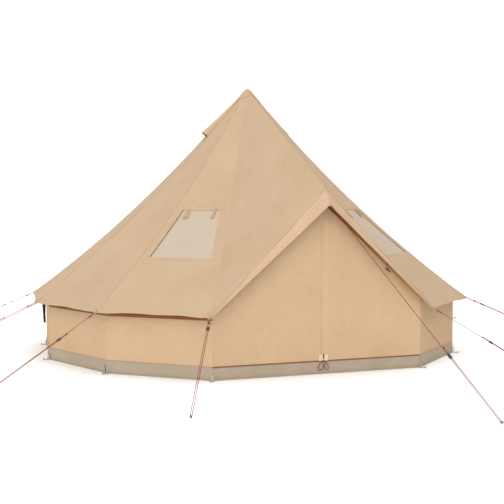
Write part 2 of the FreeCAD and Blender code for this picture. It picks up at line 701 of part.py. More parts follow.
cords = {"left": [], "right": [], "door": []}
pegs = []
rings = []
joints = []
for name, side, anchor, peg_point, share in guys:
    place = guy_frame(anchor, peg_point)
    ring = ring_shape()
    ring.Placement = place.multiply(Placement(Vector(outer_ring + gap, 0, 0), Rotation()))
    rings.append(ring)
    place.Base = place.multVec(Vector(2.0 * (outer_ring + gap), 0, 0))
    span = (peg_point - place.Base).Length
    runner_at = share * span
    cord, cord_length = guy_cord(span, runner_at)
    cord.Placement = place
    cords[side].append(cord)
    print("guy line %s: %.0f mm of cord, turn radius %.1f mm"
          % (name, cord_length, cord_pitch / 2.0))
    along = place.Rotation.multVec(Vector(1, 0, 0))
    lean = math.degrees(math.asin(-along.z))        # square to the line
    peg = peg_shape(lean)
    at_peg = place.multVec(Vector(span, cord_pitch / 2.0, 0))
    lean_shift = math.tan(math.radians(lean)) * at_peg.z
    outward = Vector(along.x, along.y, 0)
    outward.normalize()
    heading = math.degrees(math.atan2(along.x, -along.y))
    ground_point = Vector(at_peg.x, at_peg.y, 0) - outward * lean_shift
    spin = Placement(ground_point, Rotation(Vector(0, 0, 1), heading + 180.0))
    peg.Placement = spin.multiply(peg.Placement)
    pegs.append(peg)

    bar = add("Part::Box", name + "_bar", Length="Sizes.runner_length",
              Width="Sizes.runner_width", Height="Sizes.runner_thick",
              Placement=Placement(
                  Vector(0, (cord_pitch - sheet.runner_width) / 2.0,
                         -sheet.runner_thick / 2.0), Rotation()))
    doc.recompute()
    trimmed = chamfered(name + "_trimmed", bar, Vector(0, 0, 1), sheet.runner_corner)
    bored = chamfered(name + "_eased", trimmed, Vector(1, 0, 0), sheet.runner_edge)
    for strand in (0, 1):
        bore = add("Part::Cylinder", "%s_bore_%d" % (name, strand),
                   Radius="Sizes.runner_bore", Height="Sizes.runner_length",
                   Placement=Placement(Vector(0, strand * cord_pitch, 0),
                                       Rotation(Vector(0, 1, 0), 90)))
        bored = boolean("Cut", "%s_bored_%d" % (name, strand), bored, bore)
    start = place.multVec(Vector(runner_at, 0, 0))
    finished(bored, name, Placement(start, place.Rotation))
    print("joint %s pos %.5f %.5f %.5f axis %.6f %.6f %.6f"
          % (name, start.x / 1e3, start.y / 1e3, start.z / 1e3, along.x, along.y, along.z))

feature("guy_lines_left", Part.makeCompound(cords["left"]))
feature("guy_lines_right", Part.makeCompound(cords["right"]))
feature("guy_line_door", Part.makeCompound(cords["door"]))
feature("guy_pegs", Part.makeCompound(pegs))
feature("eave_rings", Part.makeCompound(rings))

# ---- wall pegs and their loops ---------------------------------------------------------
wall_pegs = []
loops = []
for azimuth in corner_azimuths:
    reach = base_radius + sheet.wall_peg_reach
    peg = Part.makeCylinder(sheet.wall_peg_radius,
                            sheet.wall_peg_depth + sheet.wall_peg_top,
                            polar(reach, azimuth, -sheet.wall_peg_depth))
    peg = peg.fuse(Part.makeCylinder(sheet.wall_peg_head, sheet.wall_peg_head_thick,
                                     polar(reach, azimuth, sheet.wall_peg_top)))
    wall_pegs.append(peg.removeSplitter())
    strap = Part.makeBox(sheet.loop_width, sheet.wall_peg_reach + sheet.loop_end,
                         sheet.loop_thick, Vector(-sheet.loop_width / 2.0,
                                                  base_radius + gap, sheet.loop_lift))
    strap = strap.cut(Part.makeCylinder(sheet.wall_peg_radius + gap, sheet.wall_peg_top,
                                        Vector(0, reach, 0)))
    strap.Placement = turned(azimuth)
    loops.append(strap)
feature("wall_pegs", Part.makeCompound(wall_pegs))
feature("peg_loops", Part.makeCompound(loops))

print("hinge right pos %.5f %.5f %.5f axis %.6f 0 %.6f"
      % (hinge_top.x / 1e3, hinge_top.y / 1e3, hinge_top.z / 1e3, hinge_run.x, hinge_run.z))

# ---- checks and files ------------------------------------------------------------------
doc.recompute()
for thing in doc.Objects:
    if "Invalid" in thing.State or "Error" in thing.State:
        raise ValueError("%s did not build: %s" % (thing.Label, thing.State))
os.makedirs("parts", exist_ok=True)
for node in nodes:
    shape = node.Shape
    if shape.isNull() or not shape.isValid() or not shape.Solids:
        raise ValueError("%s has no valid solid" % node.Label)
    shape.exportStep("parts/%s.step" % node.Label)
print("%d sub-parts written" % len(nodes))
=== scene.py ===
import json
import math
import bpy
import bmesh
from mathutils import Matrix, Vector, noise


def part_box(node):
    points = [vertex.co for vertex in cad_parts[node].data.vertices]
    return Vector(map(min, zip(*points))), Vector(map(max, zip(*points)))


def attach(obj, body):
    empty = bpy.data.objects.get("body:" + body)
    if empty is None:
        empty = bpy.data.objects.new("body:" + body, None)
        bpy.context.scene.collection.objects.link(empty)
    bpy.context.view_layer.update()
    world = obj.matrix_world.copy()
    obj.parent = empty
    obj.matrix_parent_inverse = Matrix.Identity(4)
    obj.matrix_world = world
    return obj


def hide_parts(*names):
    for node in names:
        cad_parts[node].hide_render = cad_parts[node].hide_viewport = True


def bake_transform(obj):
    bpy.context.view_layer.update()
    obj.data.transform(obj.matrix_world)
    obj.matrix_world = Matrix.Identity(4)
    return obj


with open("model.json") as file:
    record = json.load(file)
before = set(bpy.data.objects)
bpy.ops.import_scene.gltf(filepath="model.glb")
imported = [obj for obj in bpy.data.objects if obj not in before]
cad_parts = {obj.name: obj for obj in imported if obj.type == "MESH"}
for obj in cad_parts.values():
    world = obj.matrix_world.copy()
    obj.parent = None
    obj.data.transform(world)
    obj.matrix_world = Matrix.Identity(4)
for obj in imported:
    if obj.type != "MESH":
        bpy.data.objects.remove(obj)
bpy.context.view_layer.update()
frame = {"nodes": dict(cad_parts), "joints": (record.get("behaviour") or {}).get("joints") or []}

# metres, +Z up, door towards -Y; azimuths in degrees from -Y towards +X

bpy.ops.object.select_all(action="DESELECT")

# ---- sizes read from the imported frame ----
gores = sorted(name for name in frame["nodes"] if name.startswith("roof_panel_"))
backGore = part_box(gores[len(gores) // 2])
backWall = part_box("sidewall_back")
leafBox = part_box("door_leaf_right")
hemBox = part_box("canopy_hem_right")
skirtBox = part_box("mud_skirt")
joints = {joint["name"]: joint for joint in frame["joints"]}

tent = {
    "goreCount": len(gores),
    "eaveReach": math.hypot(backGore[1][0], backGore[1][1]),
    "baseReach": math.hypot(backWall[1][0], backWall[1][1]),
    "peakReach": 0.040,
    "peakHeight": backGore[1][2],
    "eaveHeight": 0.520,
    "roofSag": 0.092,         # hollow of the roof's line, peak to eave
    "eaveBow": 0.016,         # hollow of the eave edge between corners
    "wallTop": backWall[1][2],
    "skirtTop": skirtBox[1][2],
    "doorPlane": leafBox[0][1],
    "clothLay": 0.0015,       # the cloth lies this far under the solids' top
    "thickness": 0.0013,
    "netThick": 0.0008,
    "sheetThick": 0.0016,     # the coated skirt and sill
    "tapeThick": 0.0008,
    "cordPitch": 0.0126,      # between a guy line's two strands
    "cordRadius": 0.0024,
    "cordTail": 0.070,
}
tent["halfTurn"] = math.asin(backGore[1][0] / tent["eaveReach"])
tent["goreAngle"] = math.degrees(2 * tent["halfTurn"])
tent["doorHalf"] = (360 - tent["goreAngle"] * tent["goreCount"]) / 2
corners = [tent["doorHalf"] + tent["goreAngle"] * i for i in range(tent["goreCount"] + 1)]
tip = Vector((0, -1.862, 1.524))
hemTip = Vector((0, hemBox[0][1], 1.400))
cosHalf, tanHalf = math.cos(tent["halfTurn"]), math.tan(tent["halfTurn"])
peakMiddle, eaveMiddle = tent["peakReach"] * cosHalf, tent["eaveReach"] * cosHalf
halves = ((-1, "Left"), (1, "Right"))
doorSide = tent["baseReach"] * math.sin(math.radians(tent["doorHalf"]))
middles = [(a + b) / 2 for a, b in zip(corners, corners[1:])]   # azimuths of the gores
fullTurn = 2 * math.pi


def polar(reach, azimuth, height=0.0):
    angle = math.radians(azimuth)
    return Vector((reach * math.sin(angle), -reach * math.cos(angle), height))


def aside(azimuth, size=1.0):
    # sideways along the wall at this azimuth, to the right as seen from inside
    return polar(size, azimuth + 90)


def roofArc():
    # the arc along a gore's middle, from the peak to the eave
    run = eaveMiddle - peakMiddle
    fall = tent["eaveHeight"] - tent["peakHeight"]
    chord = math.hypot(run, fall)
    radius = chord ** 2 / (8 * tent["roofSag"]) + tent["roofSag"] / 2
    lift = radius - tent["roofSag"]
    centre = ((peakMiddle + eaveMiddle) / 2 - fall / chord * lift,
              (tent["peakHeight"] + tent["eaveHeight"]) / 2 + run / chord * lift)
    return centre, radius


arcCentre, arcRadius = roofArc()


def roofHeight(middle):
    # height of the roof over a point this far out along a gore's middle
    return arcCentre[1] - math.sqrt(arcRadius ** 2 - (middle - arcCentre[0]) ** 2)


def smooth(x):
    x = min(1.0, max(0.0, x))
    return x * x * (3 - 2 * x)


def wobble(x, y, z=0.0):
    return noise.noise(Vector((x, y, z)))


def steps(start, end, count):
    return [start + (end - start) * i / count for i in range(count + 1)]


# ---- colours and materials ----
def linear(hexText, alpha=1.0):
    parts = [int(hexText[i:i + 2], 16) / 255 for i in (1, 3, 5)]
    return tuple(c / 12.92 if c <= 0.04045 else ((c + 0.055) / 1.055) ** 2.4
                 for c in parts) + (alpha,)


def addNode(tree, kind, settings=None, links=None):
    # one node, with its settings and the sockets that feed it
    node = tree.nodes.new(kind)
    for key, value in (settings or {}).items():
        if key in node.inputs:
            node.inputs[key].default_value = value
        else:
            setattr(node, key, value)
    for key, source in (links or {}).items():
        tree.links.new(source, node.inputs[key])
    return node


def newMaterial(name, roughness, specular=0.5, metallic=0.0):
    material = bpy.data.materials.new(name)
    material.use_nodes = True
    tree = material.node_tree
    shader = tree.nodes["Principled BSDF"]
    shader.inputs["Roughness"].default_value = roughness
    shader.inputs["Specular IOR Level"].default_value = specular
    shader.inputs["Metallic"].default_value = metallic
    return material, tree, shader


def noiseOf(tree, spot, size, detail=3.0, rough=0.5, distortion=0.0):
    # soft noise whose patches are this many metres across
    return addNode(tree, "ShaderNodeTexNoise",
                   {"Scale": 1 / size, "Detail": detail, "Roughness": rough,
                    "Distortion": distortion}, {"Vector": spot}).outputs["Fac"]


def rampOf(tree, factor, stops):
    ramp = addNode(tree, "ShaderNodeValToRGB", None, {"Fac": factor})
    elements = ramp.color_ramp.elements
    for position, _ in stops[2:]:
        elements.new(position)
    for element, (position, tone) in zip(elements, sorted(stops)):
        element.position = position
        element.color = linear(tone)
    return ramp.outputs["Color"]


def mixed(tree, factor, first, second):
    # one colour over another; each is a hex text or an output
    mix = addNode(tree, "ShaderNodeMix", {"data_type": "RGBA"})
    tree.links.new(factor, mix.inputs[0])
    for socket, value in ((mix.inputs[6], first), (mix.inputs[7], second)):
        if isinstance(value, str):
            socket.default_value = linear(value)
        else:
            tree.links.new(value, socket)
    return mix.outputs[2]


def toned(tree, colour, factor, low, high, start=0.0, end=1.0):
    # a colour made darker or lighter by a texture's factor
    tone = addNode(tree, "ShaderNodeMapRange",
                   {"From Min": start, "From Max": end, "To Min": low, "To Max": high},
                   {"Value": factor})
    scaled = addNode(tree, "ShaderNodeVectorMath", {"operation": "SCALE"})
    tree.links.new(colour, scaled.inputs[0])
    tree.links.new(tone.outputs["Result"], scaled.inputs["Scale"])
    return scaled.outputs["Vector"]


def raised(tree, shader, height, strength, distance, under=None):
    bump = addNode(tree, "ShaderNodeBump", {"Strength": strength, "Distance": distance},
                   {"Height": height})
    if under:
        tree.links.new(under, bump.inputs["Normal"])
    tree.links.new(bump.outputs["Normal"], shader.inputs["Normal"])
    return bump.outputs["Normal"]


def worked(tree, operation, first, second):
    # a sum of two outputs, or of an output and a number
    node = addNode(tree, "ShaderNodeMath", {"operation": operation})
    for socket, value in ((node.inputs[0], first), (node.inputs[1], second)):
        if isinstance(value, (int, float)):
            socket.default_value = value
        else:
            tree.links.new(value, socket)
    return node.outputs["Value"]


def clothUv(tree):
    return addNode(tree, "ShaderNodeUVMap", {"uv_map": "cloth"}).outputs["UV"]


def objectSpot(tree):
    return addNode(tree, "ShaderNodeTexCoord").outputs["Object"]


canvasLook = {
    "threadPitch": 0.0075,    # the real thread is 0.5 mm; drawn coarser so that it shows
    "slubRatio": 0.16,
    "mottle": 0.55,           # metres across one soft patch of tone
    "creaseSize": 0.16,
}


def cottonCanvas(name, base, light, shade, roughness=0.88):
    # polycotton canvas, woven: matt, faint slubs both ways, soft patches of tone
    material, tree, shader = newMaterial(name, roughness, 0.2)
    uv = clothUv(tree)
    patches = noiseOf(tree, uv, canvasLook["mottle"], 3.0, 0.55)
    tones = rampOf(tree, patches, [(0.3, shade), (0.7, light), (0.5, base)])
    slubs = []
    for across, along in ((1.0, canvasLook["slubRatio"]), (canvasLook["slubRatio"], 1.0)):
        stretch = addNode(tree, "ShaderNodeMapping", {"Scale": (across, along, 1.0)},
                          {"Vector": uv})
        slubs.append(noiseOf(tree, stretch.outputs["Vector"], 2 * canvasLook["threadPitch"], 2.0))
    weave = worked(tree, "ADD", slubs[0], slubs[1])
    tree.links.new(toned(tree, tones, weave, 0.965, 1.035, 0.7, 1.3),
                   shader.inputs["Base Color"])
    creases = noiseOf(tree, uv, canvasLook["creaseSize"], 4.0, 0.45, 0.6)
    soft = raised(tree, shader, creases, 0.10, 0.02)
    raised(tree, shader, weave, 0.12, 0.0012, soft)
    return material


def stitchedTape(name, thread, tape, pitch=0.012, shown=1.0):
    # sewn tape or hem: a row of lock stitches along each edge; V runs 0..1 across
    material, tree, shader = newMaterial(name, 0.85, 0.2)
    uv = clothUv(tree)
    split = addNode(tree, "ShaderNodeSeparateXYZ", None, {"Vector": uv})
    turns = worked(tree, "MULTIPLY", split.outputs["X"], fullTurn / pitch)
    stitch = worked(tree, "GREATER_THAN", worked(tree, "SINE", turns, 0.0), -0.2)
    aside = worked(tree, "ABSOLUTE", worked(tree, "SUBTRACT", split.outputs["Y"], 0.5), 0.0)
    row = worked(tree, "LESS_THAN", worked(tree, "ABSOLUTE", worked(
        tree, "SUBTRACT", aside, 0.3), 0.0), 0.06)
    stitches = worked(tree, "MULTIPLY", worked(tree, "MULTIPLY", stitch, row), shown)
    fleck = worked(tree, "MULTIPLY", noiseOf(tree, uv, 0.025), 0.3)
    cloth = mixed(tree, fleck, tape, thread)
    tree.links.new(mixed(tree, stitches, cloth, thread), shader.inputs["Base Color"])
    raised(tree, shader, stitches, 0.3, 0.001)
    return material


def paintedShadeTape(name, top, bottom):
    # painted shade: a dark band under the hem for the shade in the gap between hem and door,
    # darkest at the apex; U runs 0..1 down it
    material, tree, shader = newMaterial(name, 0.9, 0.1)
    uv = clothUv(tree)
    split = addNode(tree, "ShaderNodeSeparateXYZ", None, {"Vector": uv})
    tone = rampOf(tree, split.outputs["X"], [(0.0, top), (1.0, bottom)])
    grain = noiseOf(tree, uv, 0.03)
    tree.links.new(toned(tree, tone, grain, 0.94, 1.06), shader.inputs["Base Color"])
    return material


def coatedPolyester(name, base, dark, light):
    # PVC-coated polyester, calendered: low sheen, fine scrim grid, darker within 35 mm of the
    # ground
    material, tree, shader = newMaterial(name, 0.6, 0.3)
    spot = objectSpot(tree)
    tones = rampOf(tree, noiseOf(tree, spot, 0.2, 6.0, 0.6), [(0.35, base), (0.7, light)])
    height = addNode(tree, "ShaderNodeSeparateXYZ", None, {"Vector": spot}).outputs["Z"]
    low = addNode(tree, "ShaderNodeMapRange",
                  {"From Min": 0.0, "From Max": 0.035, "To Min": 0.5, "To Max": 0.0},
                  {"Value": height})
    tree.links.new(mixed(tree, low.outputs["Result"], tones, dark), shader.inputs["Base Color"])
    scrim = addNode(tree, "ShaderNodeTexVoronoi", {"Scale": 90.0}, {"Vector": spot})
    soft = raised(tree, shader, noiseOf(tree, spot, 0.11), 0.3, 0.012)
    raised(tree, shader, scrim.outputs["Distance"], 0.08, 0.001, soft)
    return material


def insectNet(name, thread, hole):
    # knitted polyester net: pale threads, holes 1 mm wide drawn at 6 mm so that they show
    material, tree, shader = newMaterial(name, 0.8, 0.2)
    uv = clothUv(tree)
    grid = addNode(tree, "ShaderNodeTexBrick",
                   {"Scale": 1.0, "Brick Width": 0.006, "Row Height": 0.006,
                    "Mortar Size": 0.0016, "Color1": linear(hole), "Color2": linear(hole),
                    "Mortar": linear(thread)}, {"Vector": uv})
    tree.links.new(toned(tree, grid.outputs["Color"], noiseOf(tree, uv, 0.25), 0.94, 1.06),
                   shader.inputs["Base Color"])
    raised(tree, shader, grid.outputs["Fac"], 0.2, 0.0008)
    return material


def zincedSteel(name, tint, dull):
    # zinc-plated steel: satin, cloudy spangle
    material, tree, shader = newMaterial(name, 0.38, 0.5, 1.0)
    cloud = noiseOf(tree, objectSpot(tree), 0.028, 5.0)
    tree.links.new(rampOf(tree, cloud, [(0.35, dull), (0.65, tint)]),
                   shader.inputs["Base Color"])
    rough = addNode(tree, "ShaderNodeMapRange", {"To Min": 0.28, "To Max": 0.48},
                    {"Value": cloud})
    tree.links.new(rough.outputs["Result"], shader.inputs["Roughness"])
    raised(tree, shader, cloud, 0.05, 0.0004)
    return material


def mouldedNylon(name, base, worn, grain=0.0011):
    # glass-filled nylon, injection moulded: fine spark grain, greyer where rubbed
    material, tree, shader = newMaterial(name, 0.5)
    spot = objectSpot(tree)
    tree.links.new(rampOf(tree, noiseOf(tree, spot, 0.016), [(0.4, base), (0.8, worn)]),
                   shader.inputs["Base Color"])
    raised(tree, shader, noiseOf(tree, spot, grain, 2.0), 0.2, 0.0003)
    return material


def braidedCord(name, base, fleck):
    # braided polyester: two sets of strands that cross, with a pale fleck; U is metres
    # along the cord and V 0..1 round it
    material, tree, shader = newMaterial(name, 0.7, 0.3)
    uv = clothUv(tree)
    turn = addNode(tree, "ShaderNodeMapping",
                   {"Rotation": (0, 0, math.pi / 4), "Scale": (260.0, 3.2, 1.0)},
                   {"Vector": uv})
    strands = addNode(tree, "ShaderNodeTexChecker",
                      {"Scale": 1.0, "Color1": linear(base), "Color2": linear(fleck)},
                      {"Vector": turn.outputs["Vector"]})
    patch = noiseOf(tree, uv, 0.02)
    tree.links.new(toned(tree, strands.outputs["Color"], patch, 0.9, 1.1),
                   shader.inputs["Base Color"])
    raised(tree, shader, strands.outputs["Fac"], 0.4, 0.0004)
    return material


roofCanvas = cottonCanvas("roofCanvas", "#b2997c", "#b59c80", "#af9578")
hemCanvas = cottonCanvas("hemCanvas", "#bd9f83", "#c1a488", "#b8997e")
# painted light: the roof's canvas made lighter and warmer for the bounce light on the walls; also
# used for the door, storm flap and window covers
bounceLitCanvas = cottonCanvas("bounceLitCanvas", "#bea180", "#c0a484", "#bb9d7c")
frameCanvas = cottonCanvas("frameCanvas", "#b2987d", "#b59c82", "#ad9478")
seamTape = stitchedTape("seamTape", "#ab9076", "#b79d82", 0.012, 0.3)
flapTape = stitchedTape("flapTape", "#b79772", "#c6a985")
paleTape = stitchedTape("paleTape", "#cdb298", "#dcc3aa")
tieTape = stitchedTape("tieTape", "#a18364", "#b09474")
zipTape = stitchedTape("zipTape", "#3c2c1e", "#6d543c", 0.004)
webbing = stitchedTape("webbing", "#8f9080", "#aaa893", 0.004)
darkElastic = stitchedTape("darkElastic", "#2d2722", "#473d33", 0.004)
# painted shade: dark at the apex, lighter outwards, for the shade between hem and door
archShadeTape = paintedShadeTape("archShadeTape", "#6a2f14", "#c8955a")
# painted shade: the brown of the walls' top band under the eave (partly zip tape) and of the
# shadow line along the sill
zipAndShadeTape = stitchedTape("zipAndShadeTape", "#6f4022", "#8f5c38", 0.006)
sleeveCloth = coatedPolyester("sleeveCloth", "#1b1a19", "#141312", "#292725")
skirtSheet = coatedPolyester("skirtSheet", "#9f907b", "#8b7c67", "#a79984")
windowNet = insectNet("windowNet", "#b9a997", "#a0907d")
poleSteel = zincedSteel("poleSteel", "#c9ccce", "#a5a9ac")
pegSteel = zincedSteel("pegSteel", "#b9bbba", "#8d9090")
blackNylon = mouldedNylon("blackNylon", "#141414", "#2b2a29")
orangeCord = braidedCord("orangeCord", "#6e1408", "#97301e")
pullCord = braidedCord("pullCord", "#5e1c10", "#8f3323")
print("materials ready")


# ---- camera ----
view = {
    "azimuth": -19.99,        # where it stands, from -Y towards +X
    "reach": 9.835,
    "height": 1.432,
    "pitchDown": 2.943,
    "yawRight": 0.263,
    "lens": 71.106,
    "sensor": 36.0,
}


def placeCamera():
    data = bpy.data.cameras.new("viewCamera")
    data.lens = view["lens"]
    data.sensor_width = view["sensor"]
    data.clip_end = 100.0
    camera = bpy.data.objects.new("viewCamera", data)
    bpy.context.scene.collection.objects.link(camera)
    camera.location = polar(view["reach"], view["azimuth"], view["height"])
    yaw, pitch = math.radians(view["yawRight"]), math.radians(view["pitchDown"])
    look = Vector((math.sin(yaw) * math.cos(pitch), math.cos(yaw) * math.cos(pitch),
                   -math.sin(pitch)))
    look.rotate(Matrix.Rotation(math.radians(view["azimuth"]), 3, "Z"))
    camera.rotation_euler = look.to_track_quat("-Z", "Y").to_euler()
    bpy.context.scene.camera = camera


placeCamera()


# ---- cloth and cord helpers ----
def uvLayer(bm):
    return bm.loops.layers.uv.get("cloth") or bm.loops.layers.uv.new("cloth")


def addFace(bm, verts, uvs):
    layer = uvLayer(bm)
    face = bm.faces.new(verts)
    face.smooth = True
    for loop, spot in zip(face.loops, uvs):
        loop[layer].uv = spot


def addGrid(bm, rows, place, uvAt, skip=None, flip=False):
    # rows is a list of lists of parameters; place turns one into a point
    uvLayer(bm)
    grid = [[bm.verts.new(place(spot)) for spot in row] for row in rows]
    uvs = [[uvAt(spot) for spot in row] for row in rows]
    for i in range(len(rows) - 1):
        for j in range(len(rows[0]) - 1):
            if skip and skip(rows[i][j], rows[i + 1][j + 1]):
                continue
            spots = [(i, j), (i + 1, j), (i + 1, j + 1), (i, j + 1)]
            if flip:
                spots.reverse()
            addFace(bm, [grid[a][b] for a, b in spots], [uvs[a][b] for a, b in spots])


def alongOf(points):
    reached = [0.0]
    for a, b in zip(points, points[1:]):
        reached.append(reached[-1] + (b - a).length)
    return reached


def ribbon(bm, left, right):
    # a tape between two rows of points, its UV in metres along and 0..1 across
    uvLayer(bm)
    first = [bm.verts.new(p) for p in left]
    second = [bm.verts.new(p) for p in right]
    along = alongOf(left)
    for i in range(len(left) - 1):
        addFace(bm, (first[i], first[i + 1], second[i + 1], second[i]),
                ((along[i], 0), (along[i + 1], 0), (along[i + 1], 1), (along[i], 1)))


def strap(bm, points, across):
    # a flat strap along a line, this vector wide
    ribbon(bm, [p - across / 2 for p in points], [p + across / 2 for p in points])


def addTube(bm, points, radius, sides=10):
    # a round cord along a line, with closed ends; U is metres along it
    uvLayer(bm)
    along = alongOf(points)
    rings = []
    up = Vector((0, 0, 1))
    for i, point in enumerate(points):
        heading = (points[min(i + 1, len(points) - 1)] - points[max(i - 1, 0)]).normalized()
        if abs(heading.dot(up)) > 0.97:
            up = heading.orthogonal()
        first = heading.cross(up).normalized()
        up = first.cross(heading).normalized()
        rings.append([bm.verts.new(point + first * radius * math.cos(fullTurn * k / sides)
                                   + up * radius * math.sin(fullTurn * k / sides))
                      for k in range(sides)])
    for i in range(len(points) - 1):
        for k in range(sides):
            n = (k + 1) % sides
            addFace(bm, (rings[i][k], rings[i + 1][k], rings[i + 1][n], rings[i][n]),
                    ((along[i], k / sides), (along[i + 1], k / sides),
                     (along[i + 1], (k + 1) / sides), (along[i], (k + 1) / sides)))
    for ring, spot in ((rings[0], along[0]), (rings[-1][::-1], along[-1])):
        addFace(bm, ring, [(spot, k / sides) for k in range(sides)])


def meshPiece(name, bm, material, thickness=0.0, merge=False, body="tent"):
    # makes the object, joins doubled points and gives a cloth its thickness
    loose = [v for v in bm.verts if not v.link_faces]
    bmesh.ops.delete(bm, geom=loose, context="VERTS")
    if merge:
        bmesh.ops.remove_doubles(bm, verts=bm.verts, dist=0.0002)
    mesh = bpy.data.meshes.new(name)
    bm.to_mesh(mesh)
    bm.free()
    mesh.materials.append(material)
    piece = bpy.data.objects.new(name, mesh)
    bpy.context.scene.collection.objects.link(piece)
    if thickness:
        bpy.ops.object.select_all(action="DESELECT")
        bpy.context.view_layer.objects.active = piece
        piece.select_set(True)
        modifier = piece.modifiers.new("thickness", "SOLIDIFY")
        modifier.thickness = thickness
        modifier.offset = 0.0
        modifier.use_even_offset = False
        bpy.ops.object.modifier_apply(modifier=modifier.name)
        piece.select_set(False)
        piece.data.set_sharp_from_angle(angle=math.radians(50))
    if body:
        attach(piece, body)
    return piece


def areaOf(piece):
    # one side of the cloth: half of the closed shell
    return round(sum(polygon.area for polygon in piece.data.polygons) / 2, 4)


def clothPiece(name, bm, material, thickness, nodes, merge=False,
               body="tent"):
    # a sheet that stands for these nodes, which it hides; its area is measured, up to most
    piece = meshPiece(name, bm, material, thickness, merge, body)
    if nodes:
        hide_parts(*nodes)
    return piece


# ---- roof ----
def seamPoint(share, side):
    reach = tent["peakReach"] + (tent["eaveReach"] - tent["peakReach"]) * share
    return polar(reach, side * tent["doorHalf"], roofHeight(reach * cosHalf))


def ridgePoint(share):
    top = Vector((0, -tent["peakReach"], tent["peakHeight"]))
    return top + (tip - top) * share


roofShape = {
    "rows": 56,
    "columns": 18,
    "hollow": 0.007,          # the cloth dips between two seams
    "pucker": 0.0010,         # small waves beside the seams
    "puckerPitch": 0.085,
    "uneven": 0.006,          # broad, slow unevenness
    "cornerFold": 0.006,      # folds that run up from each eave corner
    "eaveWave": 0.003,
    "eaveDroop": 0.006,       # the edge hangs lower halfway between corners
    "hemWidth": 0.024,
    "seamWidth": 0.007,
    "keyColumn": 3,           # this column and its mirror follow a hole's sides
    "bowedRows": 6,           # the last rows, which follow the bowed eave
    "uvStep": 1.3,            # moves each gore to its own part of the weave
}
windowShape = {
    "top": 1.084, "bottom": 1.532, "topHalf": 0.180, "bottomHalf": 0.284,
    "gores": (0, tent["goreCount"] - 1),
    "lap": 0.012,             # the net reaches this far under the cloth
    "netDrop": 0.0035,
    "frameWide": 0.046,
    "frameBelow": 0.024,
    "frameLift": 0.0012,
    "zipWide": 0.005,
    "seamWide": 0.004,
    "seamLift": 0.0018,
    "zipLift": 0.0032,
    "tabWide": 0.024,
    "tabLong": 0.078,
    "tabs": ((-0.72, 0.10), (0.72, -0.12)),   # place across the top edge, slant
}
ventShape = {
    "top": 0.300, "bottom": 0.430, "topHalf": 0.045, "bottomHalf": 0.045, "lap": 0.01,
    "gores": (2, tent["goreCount"] - 3),
}
hoodShape = {
    "top": 0.100, "foot": 0.405, "lip": 0.452, "topHalf": 0.030, "bottomHalf": 0.055,
    "rise": 0.092, "roundness": 2.6, "flange": 0.010,
}


def roofDip(middle, across, seed):
    # how far the cloth lies under the taut surface; across runs -1..1 between seams
    down = (middle - peakMiddle) / (eaveMiddle - peakMiddle)
    bell = max(0.0, math.sin(math.pi * min(1.0, max(0.0, down * 1.02))))
    side = abs(across)
    dip = roofShape["hollow"] * bell * (1 - side * side)
    pucker = roofShape["pucker"] * math.sin(fullTurn * middle / roofShape["puckerPitch"]
                                            + 9 * wobble(seed, middle * 3))
    dip += pucker * smooth((side - 0.72) / 0.2) * (1 - smooth((side - 0.93) / 0.07)) * bell
    toCorner = smooth((down - 0.72) / 0.28)
    fold = math.sin(11 * side + 3 * wobble(seed * 1.7, 4.0)) * (side ** 3)
    dip += roofShape["cornerFold"] * toCorner * fold * (1 - smooth((side - 0.94) / 0.06))
    uneven = roofShape["uneven"] * wobble(middle * 2.1, across * 1.3 + seed, 2.0)
    dip += uneven * bell * (1 - side ** 4)
    return dip


def eaveEdge(lateral):
    # the bowed edge's distance out, from the lateral distance to the gore's middle
    halfChord = eaveMiddle * tanHalf
    radius = halfChord ** 2 / (2 * tent["eaveBow"]) + tent["eaveBow"] / 2
    return eaveMiddle - tent["eaveBow"] + radius - math.sqrt(radius ** 2 - lateral ** 2)


def gorePoint(index, middle, across, lift=0.0):
    # a point of the roof's cloth, from the distance out and the place between the seams
    z = roofHeight(middle) - tent["clothLay"] + lift - roofDip(middle, across, index * 3.1)
    wall = tent["baseReach"] * cosHalf
    hang = smooth((middle - wall) / (eaveMiddle - wall))
    z += roofShape["eaveWave"] * hang * math.sin(7 * across + index * 2.3) * (1 - across ** 2)
    z -= roofShape["eaveDroop"] * hang * (1 - across ** 2)
    azimuth = middles[index]
    sideways = aside(azimuth) * (across * middle * tanHalf)
    return polar(middle, azimuth, z) + sideways


def onGore(index, middle, lateral, lift=0.0):
    return gorePoint(index, middle, lateral / (middle * tanHalf), lift)


def holeHalf(hole, level):
    share = (level - hole["top"]) / (hole["bottom"] - hole["top"])
    return hole["topHalf"] + (hole["bottomHalf"] - hole["topHalf"]) * min(1.0, max(0.0, share))


def holeOf(index):
    if index in windowShape["gores"]:
        return windowShape
    return ventShape if index in ventShape["gores"] else None


def goreRows(index):
    # parameter rows for one gore: lines are placed on the window's and vent's edges
    levels = steps(peakMiddle, eaveMiddle, roofShape["rows"])
    hole = holeOf(index)
    if hole:
        for edge in (hole["top"], hole["bottom"]):
            nearest = min(range(len(levels)), key=lambda k: abs(levels[k] - edge))
            levels[nearest] = edge
    base = steps(-1.0, 1.0, roofShape["columns"])
    natural = abs(base[roofShape["keyColumn"]])
    rows = []
    for level in levels:
        row = list(base)
        if hole:
            beyond = max(0.0, hole["top"] - level, level - hole["bottom"])
            wanted = min(0.9, holeHalf(hole, level) / (level * tanHalf))
            span = hole["bottom"] - hole["top"]
            edge = natural + (wanted - natural) * smooth(1 - beyond / span * 1.6)
            for j, across in enumerate(base):
                size = abs(across)
                if size <= natural:
                    size = size / natural * edge
                else:
                    size = edge + (size - natural) / (1 - natural) * (1 - edge)
                row[j] = math.copysign(size, across)
        rows.append([(level, across) for across in row])
    bowed = roofShape["bowedRows"]
    for i in range(1, bowed + 1):
        for j, (level, across) in enumerate(rows[-1 - bowed + i]):
            before = rows[-1 - bowed][j][0]
            edge = eaveEdge(across * eaveMiddle * tanHalf)
            rows[-1 - bowed + i][j] = (before + (edge - before) * i / bowed, across)
    return rows, hole


